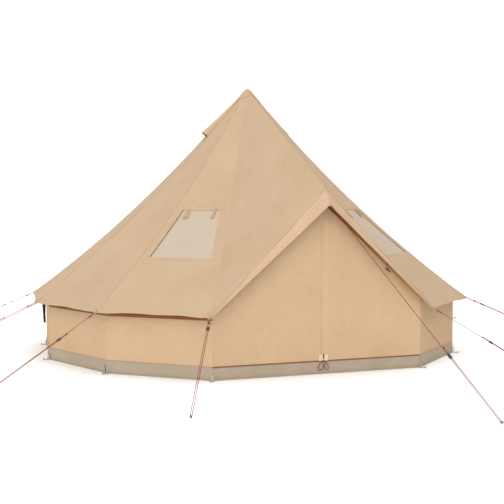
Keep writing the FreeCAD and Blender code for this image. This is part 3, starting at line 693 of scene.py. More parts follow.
def buildRoof():
    bm = bmesh.new()
    key = roofShape["keyColumn"]
    for index in range(tent["goreCount"]):
        rows, hole = goreRows(index)

        def inHole(a, b):
            if not hole:
                return False
            level = hole["top"] - 0.001 < a[0] and b[0] < hole["bottom"] + 0.001
            return level and a[2] >= key and b[2] <= roofShape["columns"] - key

        marked = [[(level, across, j) for j, (level, across) in enumerate(row)]
                  for row in rows]
        addGrid(bm, marked, lambda s: gorePoint(index, s[0], s[1]),
                lambda s: (s[1] * s[0] * tanHalf + index * roofShape["uvStep"], s[0] * 1.35),
                inHole, True)
    piece = clothPiece("roofCloth", bm, roofCanvas, tent["thickness"], gores,
                       True)
    print("roof made, %.2f square metres" % areaOf(piece))


def seamLine(bm, azimuth, start, end, lift, wide, seed):
    left, right = [], []
    sideways = aside(azimuth) * wide / 2
    for reach in steps(start, end, 44):
        point = polar(reach, azimuth, roofHeight(reach * cosHalf) + lift)
        point += sideways * (0.25 * math.sin(reach * 31 + seed))
        left.append(point - sideways)
        right.append(point + sideways)
    ribbon(bm, left, right)


def roofSeams():
    # flat-felled seams between the gores and down the canopy's sides, and the eave hems
    bm = bmesh.new()
    for k, azimuth in enumerate(corners):
        seamLine(bm, azimuth, 0.075, tent["eaveReach"] - 0.012, 0.0, roofShape["seamWidth"], k)
    for index in range(tent["goreCount"]):
        outer, inner = [], []
        for across in steps(-0.985, 0.985, 30):
            edge = eaveEdge(across * eaveMiddle * tanHalf)
            outer.append(gorePoint(index, edge - roofShape["hemWidth"], across, 0.0009))
            inner.append(gorePoint(index, edge - roofShape["hemWidth"] - 0.004, across, 0.0009))
        ribbon(bm, outer, inner)
    meshPiece("roofSeams", bm, seamTape, 0.0011)


def gridOnGore(bm, index, rows, lift, flip=True):
    # rows of (distance out, lateral distance) laid on a gore, with a metre grid for its UV
    addGrid(bm, rows, lambda s: onGore(index, s[0], s[1], lift), lambda s: (s[1], s[0]), None,
            flip)


def tapeOnGore(bm, index, line, wide, lift):
    # a tape this wide along (distance out, lateral distance) places
    ribbon(bm, [onGore(index, m, x - wide / 2, lift) for m, x in line],
           [onGore(index, m, x + wide / 2, lift) for m, x in line])


def windowNets():
    # net under each window, the canvas frame round it, its side zip and two tie tabs
    net, frameCloth, tape, zips, ties = (bmesh.new() for _ in range(5))
    shape = windowShape
    top, bottom, lap = shape["top"], shape["bottom"], shape["lap"]
    levels = steps(top, bottom, 24)
    for index in shape["gores"]:
        gridOnGore(net, index,
                   [[(level, share * (holeHalf(shape, level) + lap)) for share in steps(-1, 1, 16)]
                    for level in steps(top - lap, bottom + lap, 20)], -shape["netDrop"])
        for side in (-1, 1):
            inner = [(level, side * (holeHalf(shape, level) + 0.001)) for level in levels]
            outer = [(level, lateral + side * shape["frameWide"]) for level, lateral in inner]
            spots = [[(m, x), (m, (x + far) / 2), (m, far)]
                     for (m, x), (_, far) in zip(inner, outer)]
            gridOnGore(frameCloth, index, spots, shape["frameLift"], side > 0)
            tapeOnGore(tape, index, outer, shape["seamWide"], shape["seamLift"])
        farSide = 1 if index == 0 else -1
        tapeOnGore(zips, index, [(level, farSide * (holeHalf(shape, level) + 0.002))
                                 for level in levels], shape["zipWide"], shape["zipLift"])
        for level, deep in ((top, -shape["frameBelow"]), (bottom, shape["frameBelow"])):
            reachSide = holeHalf(shape, level) + shape["frameWide"]
            spots = [[(level + deep * share, x) for x in steps(-reachSide, reachSide, 20)]
                     for share in (0.0, 0.5, 1.0)]
            gridOnGore(frameCloth, index, spots, shape["frameLift"] * 0.9, deep > 0)
        for place, slant in shape["tabs"]:
            for fold, lift in ((-1, 0.002), (1, 0.004)):
                left, right = [], []
                for down in steps(-0.012, shape["tabLong"], 8):
                    x = place * shape["topHalf"] + fold * down * (0.10 + slant)
                    proud = lift + 0.005 * math.sin(math.pi * max(0.0, down) / shape["tabLong"])
                    left.append(onGore(index, top + down, x - shape["tabWide"] / 2, proud))
                    right.append(onGore(index, top + down, x + shape["tabWide"] / 2, proud))
                ribbon(ties, left, right)
    clothPiece("windowNetting", net, windowNet, tent["netThick"],
               ["window_meshes"])
    meshPiece("windowFrames", frameCloth, frameCanvas, 0.0011)
    meshPiece("windowSeams", tape, seamTape, 0.0009)
    meshPiece("windowZips", zips, zipTape, 0.0012)
    meshPiece("windowTies", ties, tieTape, 0.0011)


coverRoll = {
    "reach": 1.536,           # the roll's line, out from the peak
    "radius": 0.0225,
    "pitch": 0.0030,          # between one turn of the cloth and the next
    "turns": 4.6,
    "under": 0.012,           # free space between the roof and the roll
    "thick": 0.0012,
    "tieAt": 0.16,
    "tieWide": 0.02,
    "squeeze": 0.10,          # how much the ties draw it in
}


def windowRolls():
    # each window's inner cover, rolled up under its lower edge and tied twice
    bm, bands = bmesh.new(), bmesh.new()
    radius, reach, tieAt = coverRoll["radius"], coverRoll["reach"], coverRoll["tieAt"]
    for index in windowShape["gores"]:
        azimuth = middles[index]
        height = roofHeight(reach) - (radius + coverRoll["under"]) / math.cos(
            math.atan2(roofHeight(reach - 0.001) - roofHeight(reach + 0.001), 0.002))
        centre, sideways = polar(reach, azimuth, height), aside(azimuth)
        outward = polar(1.0, azimuth)
        turns = [math.pi / 2 + fullTurn * t for t in steps(0.0, coverRoll["turns"], 110)]

        def onRoll(x, size, turn):
            return (centre + sideways * x + outward * (size * math.cos(turn))
                    + Vector((0, 0, size * math.sin(turn))))

        def rolled(s):
            drawn = 1 - coverRoll["squeeze"] * math.exp(-((abs(s[0]) - tieAt) / 0.02) ** 2)
            wound = radius - coverRoll["pitch"] * (s[1] - turns[0]) / fullTurn
            return onRoll(s[0], wound * drawn, s[1])

        half = windowShape["bottomHalf"] - 0.004
        addGrid(bm, [[(x, turn) for x in steps(-half, half, 40)] for turn in turns], rolled,
                lambda s: (s[0], s[1] * radius))
        for place in (-tieAt, tieAt):
            strap(bands, [onRoll(place, radius, turn) for turn in steps(0.0, fullTurn, 28)],
                  sideways * coverRoll["tieWide"])
    clothPiece("windowCovers", bm, bounceLitCanvas, coverRoll["thick"],
               ["window_covers"])
    meshPiece("coverTies", bands, tieTape, 0.001)


def ventPieces():
    # the vents' nets and the hoods over them, sewn down at the top and along both sides
    net, hood, edges = bmesh.new(), bmesh.new(), bmesh.new()
    shape = hoodShape
    for index in ventShape["gores"]:
        lap = ventShape["lap"]
        half = ventShape["topHalf"] + lap
        gridOnGore(net, index,
                   [[(level, x) for x in steps(-half, half, 8)]
                    for level in steps(ventShape["top"] - lap, ventShape["bottom"] + lap, 10)],
                   -windowShape["netDrop"])

        def hoodPoint(s):
            share, across = s
            bow = (1 - abs(across) ** shape["roundness"]) ** (1 / shape["roundness"])
            reach = shape["foot"] + (shape["lip"] - shape["foot"]) * bow
            level = shape["top"] + (reach - shape["top"]) * share
            wide = shape["topHalf"] + (shape["bottomHalf"] - shape["topHalf"]) * share
            lift = 0.002 + shape["rise"] * share ** 0.85 * bow
            lift += 0.003 * share * bow * math.sin(9 * share + 3 * across)
            return onGore(index, level, across * wide, lift)

        places = [math.sin(math.pi / 2 * a) for a in steps(-1, 1, 24)]
        spots = [[(share, a) for a in places] for share in steps(0.0, 1.0, 26)]
        addGrid(hood, spots, hoodPoint, lambda s: (s[1] * 0.09, s[0] * 0.38), None, True)
        for side in (-1, 1):
            line = [(shape["top"] + (shape["foot"] - shape["top"]) * share,
                     side * (shape["topHalf"] + (shape["bottomHalf"] - shape["topHalf"]) * share))
                    for share in steps(0.0, 1.0, 20)]
            ribbon(edges, [onGore(index, m, x, 0.0024) for m, x in line],
                   [onGore(index, m, x + side * shape["flange"], 0.0018) for m, x in line])
        above = Vector((0, 0, 0.0014))
        ribbon(edges, *([hoodPoint((share, a)) + above for a in places] for share in (1.0, 0.96)))
    clothPiece("ventNetting", net, windowNet, tent["netThick"], ["vent_meshes"])
    clothPiece("ventHoods", hood, hemCanvas, tent["thickness"], ["vent_hoods"])
    meshPiece("hoodEdges", edges, seamTape, 0.0011)


cornerPatch = {
    "long": 0.085, "half": 0.050, "lift": 0.0014, "rows": 8, "columns": 6,
    "tabWide": 0.014,
    # the tab round the ring: along the seam and up from it
    "tabLine": ((-0.034, 0.0050), (0.0, 0.0040), (0.0040, 0.0040), (0.0062, 0.0),
                (0.0040, -0.0040), (0.0, -0.0045), (-0.020, -0.0050)),
}


def cornerPatches():
    # sewn triangles over each eave corner, and the tab that holds the ring
    bm, tabs = bmesh.new(), bmesh.new()
    for k, azimuth in enumerate(corners):
        for index, side in ((k - 1, 1), (k, -1)):
            if not 0 <= index < tent["goreCount"]:
                continue
            rows = []
            for share in steps(0.0, 1.0, cornerPatch["rows"]):
                middle = eaveMiddle - 0.001 - cornerPatch["long"] * share
                wide = cornerPatch["half"] * (1 - share)
                seam = middle * tanHalf
                rows.append([(middle, side * (seam - 0.001 - wide * t))
                             for t in steps(0.0, 1.0, cornerPatch["columns"])])
            addGrid(bm, rows, lambda s: onGore(index, s[0], s[1], cornerPatch["lift"]),
                    lambda s: (s[1] + azimuth, s[0]), None, side < 0)
        along = polar(1.0, azimuth, -roofSlope(eaveMiddle)).normalized()
        sideways = aside(azimuth)
        up = sideways.cross(along)
        if up.z < 0:
            up.negate()
        corner = polar(tent["eaveReach"], azimuth, tent["eaveHeight"] - 0.0015)
        strap(tabs, [corner + along * a + up * b for a, b in cornerPatch["tabLine"]],
              sideways * cornerPatch["tabWide"])
    meshPiece("cornerPatches", bm, frameCanvas, 0.0011)
    meshPiece("ringTabs", tabs, tieTape, 0.0014)


def roofSlope(middle):
    return (roofHeight(middle - 0.001) - roofHeight(middle + 0.001)) / 0.002


def canopyHeight(reach, turn):
    # height of the canopy's surface at this reach and azimuth, between its two seams
    lean = math.tan(math.radians(abs(turn)))
    share = reach / tent["eaveReach"]
    for _ in range(6):
        a, b = ridgePoint(share), seamPoint(share, 1)
        across = -a.y * lean / (b.x + (a.y - b.y) * -lean)
        point = a + (b - a) * across
        share *= reach / math.hypot(point.x, point.y)
    return point.z


capShape = {
    "reach": 0.094,
    "start": 0.030,           # from here on it comes down to the roof
    "above": 0.030,           # its point, over the peak
    "round": 11.0,
    "slope": 0.25,
    "lift": 0.0028,
    "thick": 0.0012,
}


def capPoint(reach, azimuth):
    # the cap's cloth: a rounded point that comes down on to the roof
    turn = (azimuth + 180) % 360 - 180
    size = max(reach, tent["peakReach"] + 0.001)
    if abs(turn) < tent["doorHalf"]:
        lying = canopyHeight(size, turn)
    else:
        step = (abs(turn) - tent["doorHalf"]) % tent["goreAngle"] - tent["goreAngle"] / 2
        lying = roofHeight(size * math.cos(math.radians(step)))
    ease = smooth((reach - capShape["start"]) / 0.030)
    dome = tent["peakHeight"] + capShape["above"] - capShape["round"] * reach * reach
    dome -= capShape["slope"] * reach
    return polar(reach, azimuth, dome * (1 - ease) + (lying + capShape["lift"]) * ease)


def peakCap():
    bm = bmesh.new()
    reaches = [0.0005] + steps(0.004, capShape["reach"], 20)
    rows = [[(reach, azimuth) for azimuth in steps(0, 360, 72)] for reach in reaches]
    addGrid(bm, rows, lambda s: capPoint(s[0], s[1]),
            lambda s: (s[0] * math.sin(math.radians(s[1])), s[0] * math.cos(math.radians(s[1]))))
    bmesh.ops.remove_doubles(bm, verts=bm.verts, dist=0.00005)
    centre = [v for v in bm.verts if math.hypot(v.co.x, v.co.y) < 0.001]
    bmesh.ops.pointmerge(bm, verts=centre, merge_co=Vector((0, 0, capPoint(0.0, 0.0).z)))
    bmesh.ops.recalc_face_normals(bm, faces=bm.faces)
    clothPiece("peakCap", bm, roofCanvas, capShape["thick"], ["peak_cap"])


buildRoof()
roofSeams()
windowNets()
windowRolls()
ventPieces()
cornerPatches()
peakCap()
print("roof's pieces made")


# ---- door canopy ----
canopyShape = {
    "rows": 48,
    "columns": 22,
    "hollow": 0.010,
    "ridgeWidth": 0.008,
    "edgeFold": 0.004,
    "uneven": 0.004,
    "hemWave": 0.0035,
    "hemUnder": 0.0022,       # the hem's top edge lies this far under the lip
    "hemInset": 0.006,        # from the eave corner
    "hemEnd": 0.012,          # the band's depth at the eave corner
}


def canopyPoint(side, down, across, lift=0.0):
    # across runs from the ridge (0) to the seam (1), down from the peak to the lip
    a, b = ridgePoint(down), seamPoint(down, side)
    bell = math.sin(math.pi * down) * math.sin(math.pi * across)
    dip = canopyShape["hollow"] * bell
    dip += canopyShape["uneven"] * wobble(down * 6, across * 2.5, 5.0 + side) * smooth(
        4 * across * (1 - across))
    dip += canopyShape["edgeFold"] * smooth((down - 0.8) / 0.2) * math.sin(
        across * 17 + 2 * side) * across * (1 - across) * 1.6
    return a + (b - a) * across - Vector((0, 0, tent["clothLay"] + dip - lift))


def buildCanopy(side, word):
    bm = bmesh.new()
    rows = [[(down, across) for across in steps(0.0, 1.0, canopyShape["columns"])]
            for down in steps(0.0, 1.0, canopyShape["rows"])]
    addGrid(bm, rows, lambda s: canopyPoint(side, s[0], s[1]),
            lambda s: (s[1] * s[0] * 1.2 + 4 + side, s[0] * 2.4), None, side < 0)
    clothPiece("canopy" + word, bm, roofCanvas, tent["thickness"],
               ["canopy_" + word.lower()],
               True)


def hemPoint(side, along, down, lift=0.0):
    # band from the canopy's lip to the hem tip; along from the tip to the eave corner
    corner = polar(tent["eaveReach"], side * tent["doorHalf"], tent["eaveHeight"])
    under = Vector((0, 0, canopyShape["hemUnder"]))
    start, end = tip - under, corner - under + Vector((-side * canopyShape["hemInset"], 0, 0))
    hang = hemTip - start
    top = start + (end - start) * along
    low = hemTip + (end + hang * (canopyShape["hemEnd"] / hang.length) - hemTip) * along
    point = top + (low - top) * down
    wave = canopyShape["hemWave"] * math.sin(along * 23 + side) * down * (1 - along)
    return point + Vector((0, 0.0015 + lift + wave, 0))


def buildHem(side, word):
    bm = bmesh.new()
    rows = [[(along, down) for down in steps(0.0, 1.0, 8)] for along in steps(0.0, 1.0, 60)]
    addGrid(bm, rows, lambda s: hemPoint(side, s[0], s[1]),
            lambda s: (s[0] * 1.4 + 7, s[1] * 0.14), None, side > 0)
    clothPiece("canopyHem" + word, bm, hemCanvas, tent["thickness"],
               ["canopy_hem_" + word.lower()], True)


def canopyTapes():
    # fine seams along the ridge and along the hem bands
    bm = bmesh.new()
    wide = canopyShape["ridgeWidth"]
    for side in (-1, 1):
        downs = steps(0.03, 0.995, 40)
        ribbon(bm, [canopyPoint(side, down, 0.0, 0.0012) for down in downs],
               [canopyPoint(side, down, wide / 2 / max(0.05, 1.1 * down), 0.0012)
                for down in downs])
        alongs = steps(0.004, 0.94, 40)
        ribbon(bm, [hemPoint(side, along, 0.86 - 0.3 * along, -0.0013) for along in alongs],
               [hemPoint(side, along, 0.82 - 0.3 * along, -0.0013) for along in alongs])
    meshPiece("canopyTapes", bm, seamTape, 0.0009)


for side, word in halves:
    buildCanopy(side, word)
    buildHem(side, word)
canopyTapes()
print("canopy made")

# ---- side walls, skirt, sill, groundsheet ----
wallShape = {
    "rows": 16,
    "columns": 14,
    "billow": 0.010,
    "fold": 0.0025,
    "skirtBillow": 0.0035,
    "zipAndShadeLow": 0.480,          # the lower edge of the brown band at the walls' top: zip tape and painted shade under the eave
    "edgeLow": -0.007,        # the painted shadow line along the sill's top, from the skirt's top
    "edgeHigh": -0.0005,
}


def wallPoint(azimuth, plane, across, height, top, bottom, billow, seed):
    lateral = across * plane * tanHalf
    share = (height - bottom) / (top - bottom)
    bell = math.sin(math.pi * share) * (1 - across ** 2)
    inward = billow * bell * (0.6 + 0.4 * wobble(seed, share * 2))
    inward += wallShape["fold"] * wobble(lateral * 9 + seed * 5, share * 1.2) * math.sin(
        math.pi * share)
    return polar(plane - inward, azimuth, height) + aside(azimuth) * lateral


def addWall(bm, index, plane, top, bottom, rows, columns, billow, seed):
    azimuth = middles[index]
    spots = [[(height, across) for across in steps(-1.0, 1.0, columns)]
             for height in steps(bottom, top, rows)]
    addGrid(bm, spots,
            lambda s: wallPoint(azimuth, plane, s[1], s[0], top, bottom, billow, seed),
            lambda s: (s[1] * 0.48 + index * 0.96, s[0]))


def buildWall(name, node, first, last):
    bm = bmesh.new()
    plane = tent["baseReach"] * cosHalf - tent["clothLay"]
    top, bottom = tent["wallTop"], tent["skirtTop"] + 0.001
    for index in range(first, last):
        addWall(bm, index, plane, top, bottom, wallShape["rows"], wallShape["columns"],
                wallShape["billow"], index * 2.7)
    clothPiece(name, bm, bounceLitCanvas, tent["thickness"], [node],
               True)


def buildSkirt():
    bm = bmesh.new()
    plane = tent["baseReach"] * cosHalf - 0.002
    for index in range(tent["goreCount"]):
        addWall(bm, index, plane, tent["skirtTop"], 0.0012, 8, 22, wallShape["skirtBillow"],
                index * 1.9 + 40)
    clothPiece("mudSkirt", bm, skirtSheet, tent["sheetThick"], ["mud_skirt"],
               True)


def buildSill():
    bm = bmesh.new()
    half = doorSide - 0.0015
    spots = [[(x, z) for x in steps(-half, half, 70)]
             for z in steps(0.0012, tent["skirtTop"], 6)]
    addGrid(bm, spots,
            lambda s: Vector((s[0], tent["doorPlane"] + 0.002 + 0.004 * wobble(
                s[0] * 7, s[1] * 9, 3.0) * smooth(20 * (half - abs(s[0]))), s[1])),
            lambda s: s)
    clothPiece("doorSill", bm, skirtSheet, tent["sheetThick"], ["door_sill"])


def wallBand(bm, first, low, high, across):
    # a tape on the walls' outer side between two heights
    plane = tent["baseReach"] * cosHalf + 0.0006
    for azimuth in middles[first:]:
        ribbon(bm, *([polar(plane, azimuth, height) + aside(azimuth) * (t * plane * tanHalf)
                      for t in steps(-across, across, 14)] for height in (low, high)))


def wallTapes():
    # the sewn line between wall and skirt, a painted shadow line along the sill under the door,
    # and the walls' top band: zip tape and painted shade under the eave
    seams, edge, zips = bmesh.new(), bmesh.new(), bmesh.new()
    wallBand(seams, 0, tent["skirtTop"] - 0.004, tent["skirtTop"] + 0.004, 0.99)
    ribbon(edge, *([Vector((x, tent["doorPlane"] - 0.0026, tent["skirtTop"] + lift))
                    for x in steps(-doorSide + 0.004, doorSide - 0.004, 30)]
                   for lift in (wallShape["edgeLow"], wallShape["edgeHigh"])))
    wallBand(zips, 1, wallShape["zipAndShadeLow"], tent["wallTop"] - 0.004, 0.992)
    meshPiece("skirtSeams", seams, tieTape, tent["tapeThick"])
    meshPiece("sillEdge", edge, zipAndShadeTape, tent["tapeThick"])
    meshPiece("wallZips", zips, zipAndShadeTape, tent["tapeThick"])


def groundFloor():
    bm = bmesh.new()
    layer = uvLayer(bm)
    inner = tent["baseReach"] - 0.0055
    shares = steps(0.03, 1.0, 22)
    made = []
    for share in shares:
        ring = []
        for k, azimuth in enumerate(corners):
            following = corners[k + 1] if k + 1 < len(corners) else 360 + corners[0]
            a, b = polar(inner * share, azimuth), polar(inner * share, following)
            count = 6 if k + 1 < len(corners) else 10
            ring += [a + (b - a) * (step / count) for step in range(count)]
        crumple = 0.0016 * smooth((1 - share) * 8)
        made.append([bm.verts.new(p + Vector((0, 0, 0.0018 + crumple * (
            0.5 + wobble(p.x * 5, p.y * 5))))) for p in ring])
    for i in range(len(made) - 1):
        for j in range(len(made[0])):
            k = (j + 1) % len(made[0])
            face = bm.faces.new((made[i][j], made[i][k], made[i + 1][k], made[i + 1][j]))
            face.smooth = True
    bm.faces.new(made[0][::-1])
    bmesh.ops.recalc_face_normals(bm, faces=bm.faces)
    for face in bm.faces:
        for loop in face.loops:
            loop[layer].uv = loop.vert.co.xy
    clothPiece("groundFloor", bm, skirtSheet, 0.0012, ["groundsheet"])


sideCount = tent["goreCount"] // 2
buildWall("wallRight", "sidewall_right", 0, sideCount)
buildWall("wallBack", "sidewall_back", sideCount, tent["goreCount"] - sideCount)
buildWall("wallLeft", "sidewall_left", tent["goreCount"] - sideCount, tent["goreCount"])
buildSkirt()
buildSill()
wallTapes()
groundFloor()
print("walls and floor made")

# ---- door ----
hinge = joints["door_right_fold"]
hingeRun = Vector(hinge["axis"]).normalized()
if hingeRun.z > 0:
    hingeRun.negate()         # from the apex down to the bottom corner
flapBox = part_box("storm_flap")
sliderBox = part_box("door_zip_slider")
doorShape = {
    "rows": 56, "columns": 40, "fold": 0.0040, "bendWidth": 0.05,
    "fineFold": 0.0022,
    "flatTo": 0.072,          # no folds as far as the flap's edge
    "underLip": 0.0034,
    "sillGap": 0.003,
    "flapSlant": 0.060,       # the flap's top corner, cut back
    "creases": (0.50, 0.83, 1.16), "creaseDeep": 0.0022,
    "stripSide": 0.035,       # the flap's second seam, from the door's middle
    "tabLow": 0.108, "tabHigh": 0.160, "tabWide": 0.080,
    "pullLow": 0.032,
    "loops": ((-1, -0.034, 0.026), (1, 0.030, 0.020)),   # side, lean, half width
    "loopRadius": 0.0024,
}
# size of the painted shade band under the hem: its depth at the apex, how fast it narrows
# outwards, and how far out it reaches
archShadeSize = {"deep": 0.140, "taper": 0.112, "reach": 0.93}


def lipHeight(x):
    # height of the canopy's underside over the door, by bisection along the ruling
    low, high = 0.5, 1.0
    for _ in range(40):
        down = (low + high) / 2
        a, b = ridgePoint(down), seamPoint(down, 1)
        point = a + (b - a) * min(1.0, abs(x) / max(1e-6, b.x))
        if point.y > tent["doorPlane"]:
            low = down
        else:
            high = down
    return point.z - doorShape["underLip"]


def doorPoint(side, x, z):
    fold = doorShape["fold"] * wobble(x * 6 + side, z * 1.1, 8.0)
    fold += doorShape["fineFold"] * wobble(x * 17, z * 2.0 + x * 6, 3.0)
    edge = smooth((x - doorShape["flatTo"]) / 0.06) * smooth((z - tent["skirtTop"] - 0.01) / 0.06)
    edge *= smooth((doorSide - x) / 0.05)
    return Vector((side * x, tent["doorPlane"] + 0.0015 + fold * edge, z))


def buildDoorHalf(side, word):
    bottom = tent["skirtTop"] + doorShape["sillGap"]
    xs = steps(0.0003, doorSide - 0.0008, doorShape["columns"])
    heights = [lipHeight(x) for x in xs]
    rows = [[(x, bottom + (top - bottom) * share) for x, top in zip(xs, heights)]
            for share in steps(0.0, 1.0, doorShape["rows"])]
    bm = bmesh.new()
    addGrid(bm, rows, lambda s: doorPoint(side, s[0], s[1]),
            lambda s: (s[0] + 3 * side, s[1]), None, side < 0)
    low = word.lower()
    piece = clothPiece("doorHalf" + word, bm, bounceLitCanvas, tent["thickness"],
                       ["door_jamb_" + low, "door_leaf_" + low],
                       True, None)
    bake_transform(piece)


def archZips():
    # painted shade: a dark band on the door cloth behind the canopy's hem, for the shade in the
    # gap between hem and door, deepest and darkest at the apex
    bm = bmesh.new()
    for side in (-1, 1):
        spots = []
        for x in steps(0.024, archShadeSize["reach"], 48):
            deep = archShadeSize["deep"] - archShadeSize["taper"] * x
            spots.append([(x, lipHeight(x) - deep * share, share)
                          for share in (0.03, 0.25, 0.5, 0.75, 1.0)])
        addGrid(bm, spots,
                lambda s: doorPoint(side, s[0], s[1]) - Vector((0, 0.0013, 0)),
                lambda s: (s[0] / archShadeSize["reach"], s[2]), None, side > 0)
    meshPiece("archZips", bm, archShadeTape, tent["tapeThick"])


def stormFlap():
    # the strip of cloth that covers the zip, with a paler tape down its free edge
    low, high = flapBox
    wide = high[0] - low[0]

    def flapPoint(x, z, lift=0.0):
        share = (x - low[0]) / wide
        crease = 0.0
        for height in doorShape["creases"]:
            crease += doorShape["creaseDeep"] * share * math.exp(
                -((z - height + 0.4 * (x - low[0])) / 0.012) ** 2)
        return Vector((x, tent["doorPlane"] - lift - crease, z))

    def topOf(x):
        return high[2] - doorShape["flapSlant"] * (x - low[0]) / wide - 0.002

    bm, strip = bmesh.new(), bmesh.new()
    rows = [[(x, low[2] + (topOf(x) - low[2]) * share) for x in steps(low[0], high[0], 10)]
            for share in steps(0.0, 1.0, 130)]
    addGrid(bm, rows, lambda s: flapPoint(s[0], s[1]), lambda s: (s[0], s[1]))
    clothPiece("stormFlapCloth", bm, bounceLitCanvas, 0.0011, ["storm_flap"],
               body="door_right")
    heights = steps(low[2] + 0.004, topOf(high[0]) - 0.004, 130)
    inside = doorShape["stripSide"]
    ribbon(strip, [flapPoint(high[0] - 0.001, z, 0.0007) for z in heights],
           [flapPoint(inside, z, 0.0007) for z in heights])
    meshPiece("flapStrip", strip, flapTape, 0.0005, body="door_right")


def zipPull():
    # the pale tab behind the slider and the cord loops that hang from it
    middle = (sliderBox[0][0] + sliderBox[1][0]) / 2
    front = sliderBox[1][1] + 0.0007
    tab, loops = bmesh.new(), bmesh.new()
    low, high = doorShape["tabLow"], doorShape["tabHigh"]
    line = [Vector((middle, front, high + (low - high) * share)) for share in steps(0.0, 1.0, 8)]
    strap(tab, line, Vector((-doorShape["tabWide"], 0, 0)))
    meshPiece("zipTab", tab, paleTape, 0.0008, body="zip_slider")
    start = low + 0.006       # the loops come out from behind the tab's foot
    for side, lean, wide in doorShape["loops"]:
        deep = start - doorShape["pullLow"]
        points = []
        for turn in steps(0.12, fullTurn - 0.12, 26):
            down = deep * (1 - math.cos(turn)) / 2
            points.append(Vector((middle + lean * down / deep + wide * math.sin(turn),
                                  front - 0.0065 - 0.003 * side,
                                  start - down)))
        addTube(loops, points, doorShape["loopRadius"])
    meshPiece("zipCordLoops", loops, pullCord, body="zip_slider")


for side, word in halves:
    buildDoorHalf(side, word)
archZips()
stormFlap()
zipPull()
print("door made")

# ---- guy lines, toggle, peg loops, cable sleeve ----
guyLook = {
    "runnerLong": 0.040,
    "knotRadius": 0.0046,
    "knotTurns": 3.0,
    "knotLong": 0.014,
    "knotAway": 0.040,        # the knot, from the ring
    "loopHalf": 0.0052,
}


def knotPoints(at, along, across, radius, length, turns):
    up = along.cross(across)
    return [at + along * (length * (share - 0.5)) + across * (radius * math.cos(angle))
            + up * (radius * math.sin(angle))
            for share, angle in ((s, fullTurn * turns * s) for s in steps(0.0, 1.0, 36))]


def guyLine(bm, joint, node):
    # cord from its ring to the peg, round it and back through the runner to its end knot
    along = Vector(joint["axis"]).normalized()
    across = Vector((0, 0, 1)).cross(along).normalized()
    low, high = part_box(joint["name"][:-len("_slide")])
    middle = (Vector(low) + Vector(high)) / 2
    at = middle - across * tent["cordPitch"] / 2 - along * guyLook["runnerLong"] / 2
    up = along.cross(across)
    shares = []
    for vertex in node.data.vertices:
        away = vertex.co - at
        share = away.dot(along)
        if (away - along * share).length < 1.3 * tent["cordRadius"]:
            shares.append(share)
    near, pitch, radius = min(shares), tent["cordPitch"], tent["cordRadius"]
    far = max(shares) - 0.0028
    turn = [at + along * (far + pitch / 2 * math.sin(t)) + across * (
        pitch / 2 * (1 - math.cos(t))) for t in steps(0.0, math.pi, 12)]
    main = [at + along * share for share in steps(near + guyLook["knotAway"], far, 12)]
    back = [at + across * pitch + along * share
            for share in steps(far, -tent["cordTail"] + 0.004, 12)]
    addTube(bm, main[:-1] + turn + back[1:], radius)
    # a loop through the ring, closed by a knot
    eye = near - 0.0023
    spread = guyLook["loopHalf"]
    loop = [(guyLook["knotAway"], spread * 0.3), (0.022, spread * 0.9), (0.006, spread),
            (-0.0040, spread * 0.72), (-0.0068, 0.0)]
    upper = [at + along * (eye + a) + up * b for a, b in loop]
    lower = [at + along * (eye + a) - up * b for a, b in reversed(loop[:-1])]
    addTube(bm, upper + lower, radius)
    end = at + across * pitch - along * (tent["cordTail"] - 0.006)
    for place, size, long, turns in ((at + along * (near + guyLook["knotAway"]), 1.0,
                                      guyLook["knotLong"], guyLook["knotTurns"]),
                                     (end, 0.9, 0.011, 2.5)):
        addTube(bm, knotPoints(place, along, across, guyLook["knotRadius"] * size, long, turns),
                radius)


def guyLines():
    for name in ("guy_lines_left", "guy_lines_right", "guy_line_door"):
        node = bpy.data.objects[name]
        bm = bmesh.new()
        for joint in joints.values():
            if not joint["name"].startswith("tensioner"):
                continue
            where = joint["name"][len("tensioner_"):-len("_slide")]
            owner = "guy_line_door"
            if where != "door":
                azimuth = corners[int(where) - 1]
                owner = "guy_lines_right" if azimuth < 180 else "guy_lines_left"
            if owner == name:
                guyLine(bm, joint, node)
        word = name.split("_")[-1].capitalize()
        piece = meshPiece("guyCord" + word, bm, orangeCord)
        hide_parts(name)


toggleLook = {
    "along": 0.54,            # its place down the right hem
    "hang": 0.056,
    "places": (-0.024, -0.020, -0.008, 0.008, 0.020, 0.024),
    "radius": 0.0065,
    "cordRadius": 0.0022,
    "eyelet": 0.009,
}


def hemToggles():
    # the canopy tip's eyelet, and the dark turned toggle on its cord under the right hem
    bm, cords = bmesh.new(), bmesh.new()
    along, size = toggleLook["along"], toggleLook["eyelet"]
    at = hemPoint(1, along, 1.0, -0.006) - Vector((0, 0, toggleLook["hang"]))
    run = (hemPoint(1, along + 0.02, 1.0) - hemPoint(1, along - 0.02, 1.0)).normalized()
    addTube(bm, [at + run * x for x in toggleLook["places"]], toggleLook["radius"], 12)
    addTube(cords, [at, at + Vector((0, 0.003, 0.030)), at + Vector((0, 0.0050, 0.060))],
            toggleLook["cordRadius"])
    addTube(bm, [tip + Vector((size * math.cos(t), -0.001, size * math.sin(t) - 0.021))
                 for t in steps(0.0, fullTurn, 20)], 0.0018, 8)
    meshPiece("hemToggles", bm, blackNylon)
    meshPiece("toggleCords", cords, pullCord)


pegLook = {
    "strapWide": 0.030,
    "armWide": 0.007,
    "armHalf": 0.0115,
    "flat": 0.0032,           # the straps' height on the ground
    "elasticWide": 0.006,
    "elasticSide": 0.020,
    "most": 0.0414,
}


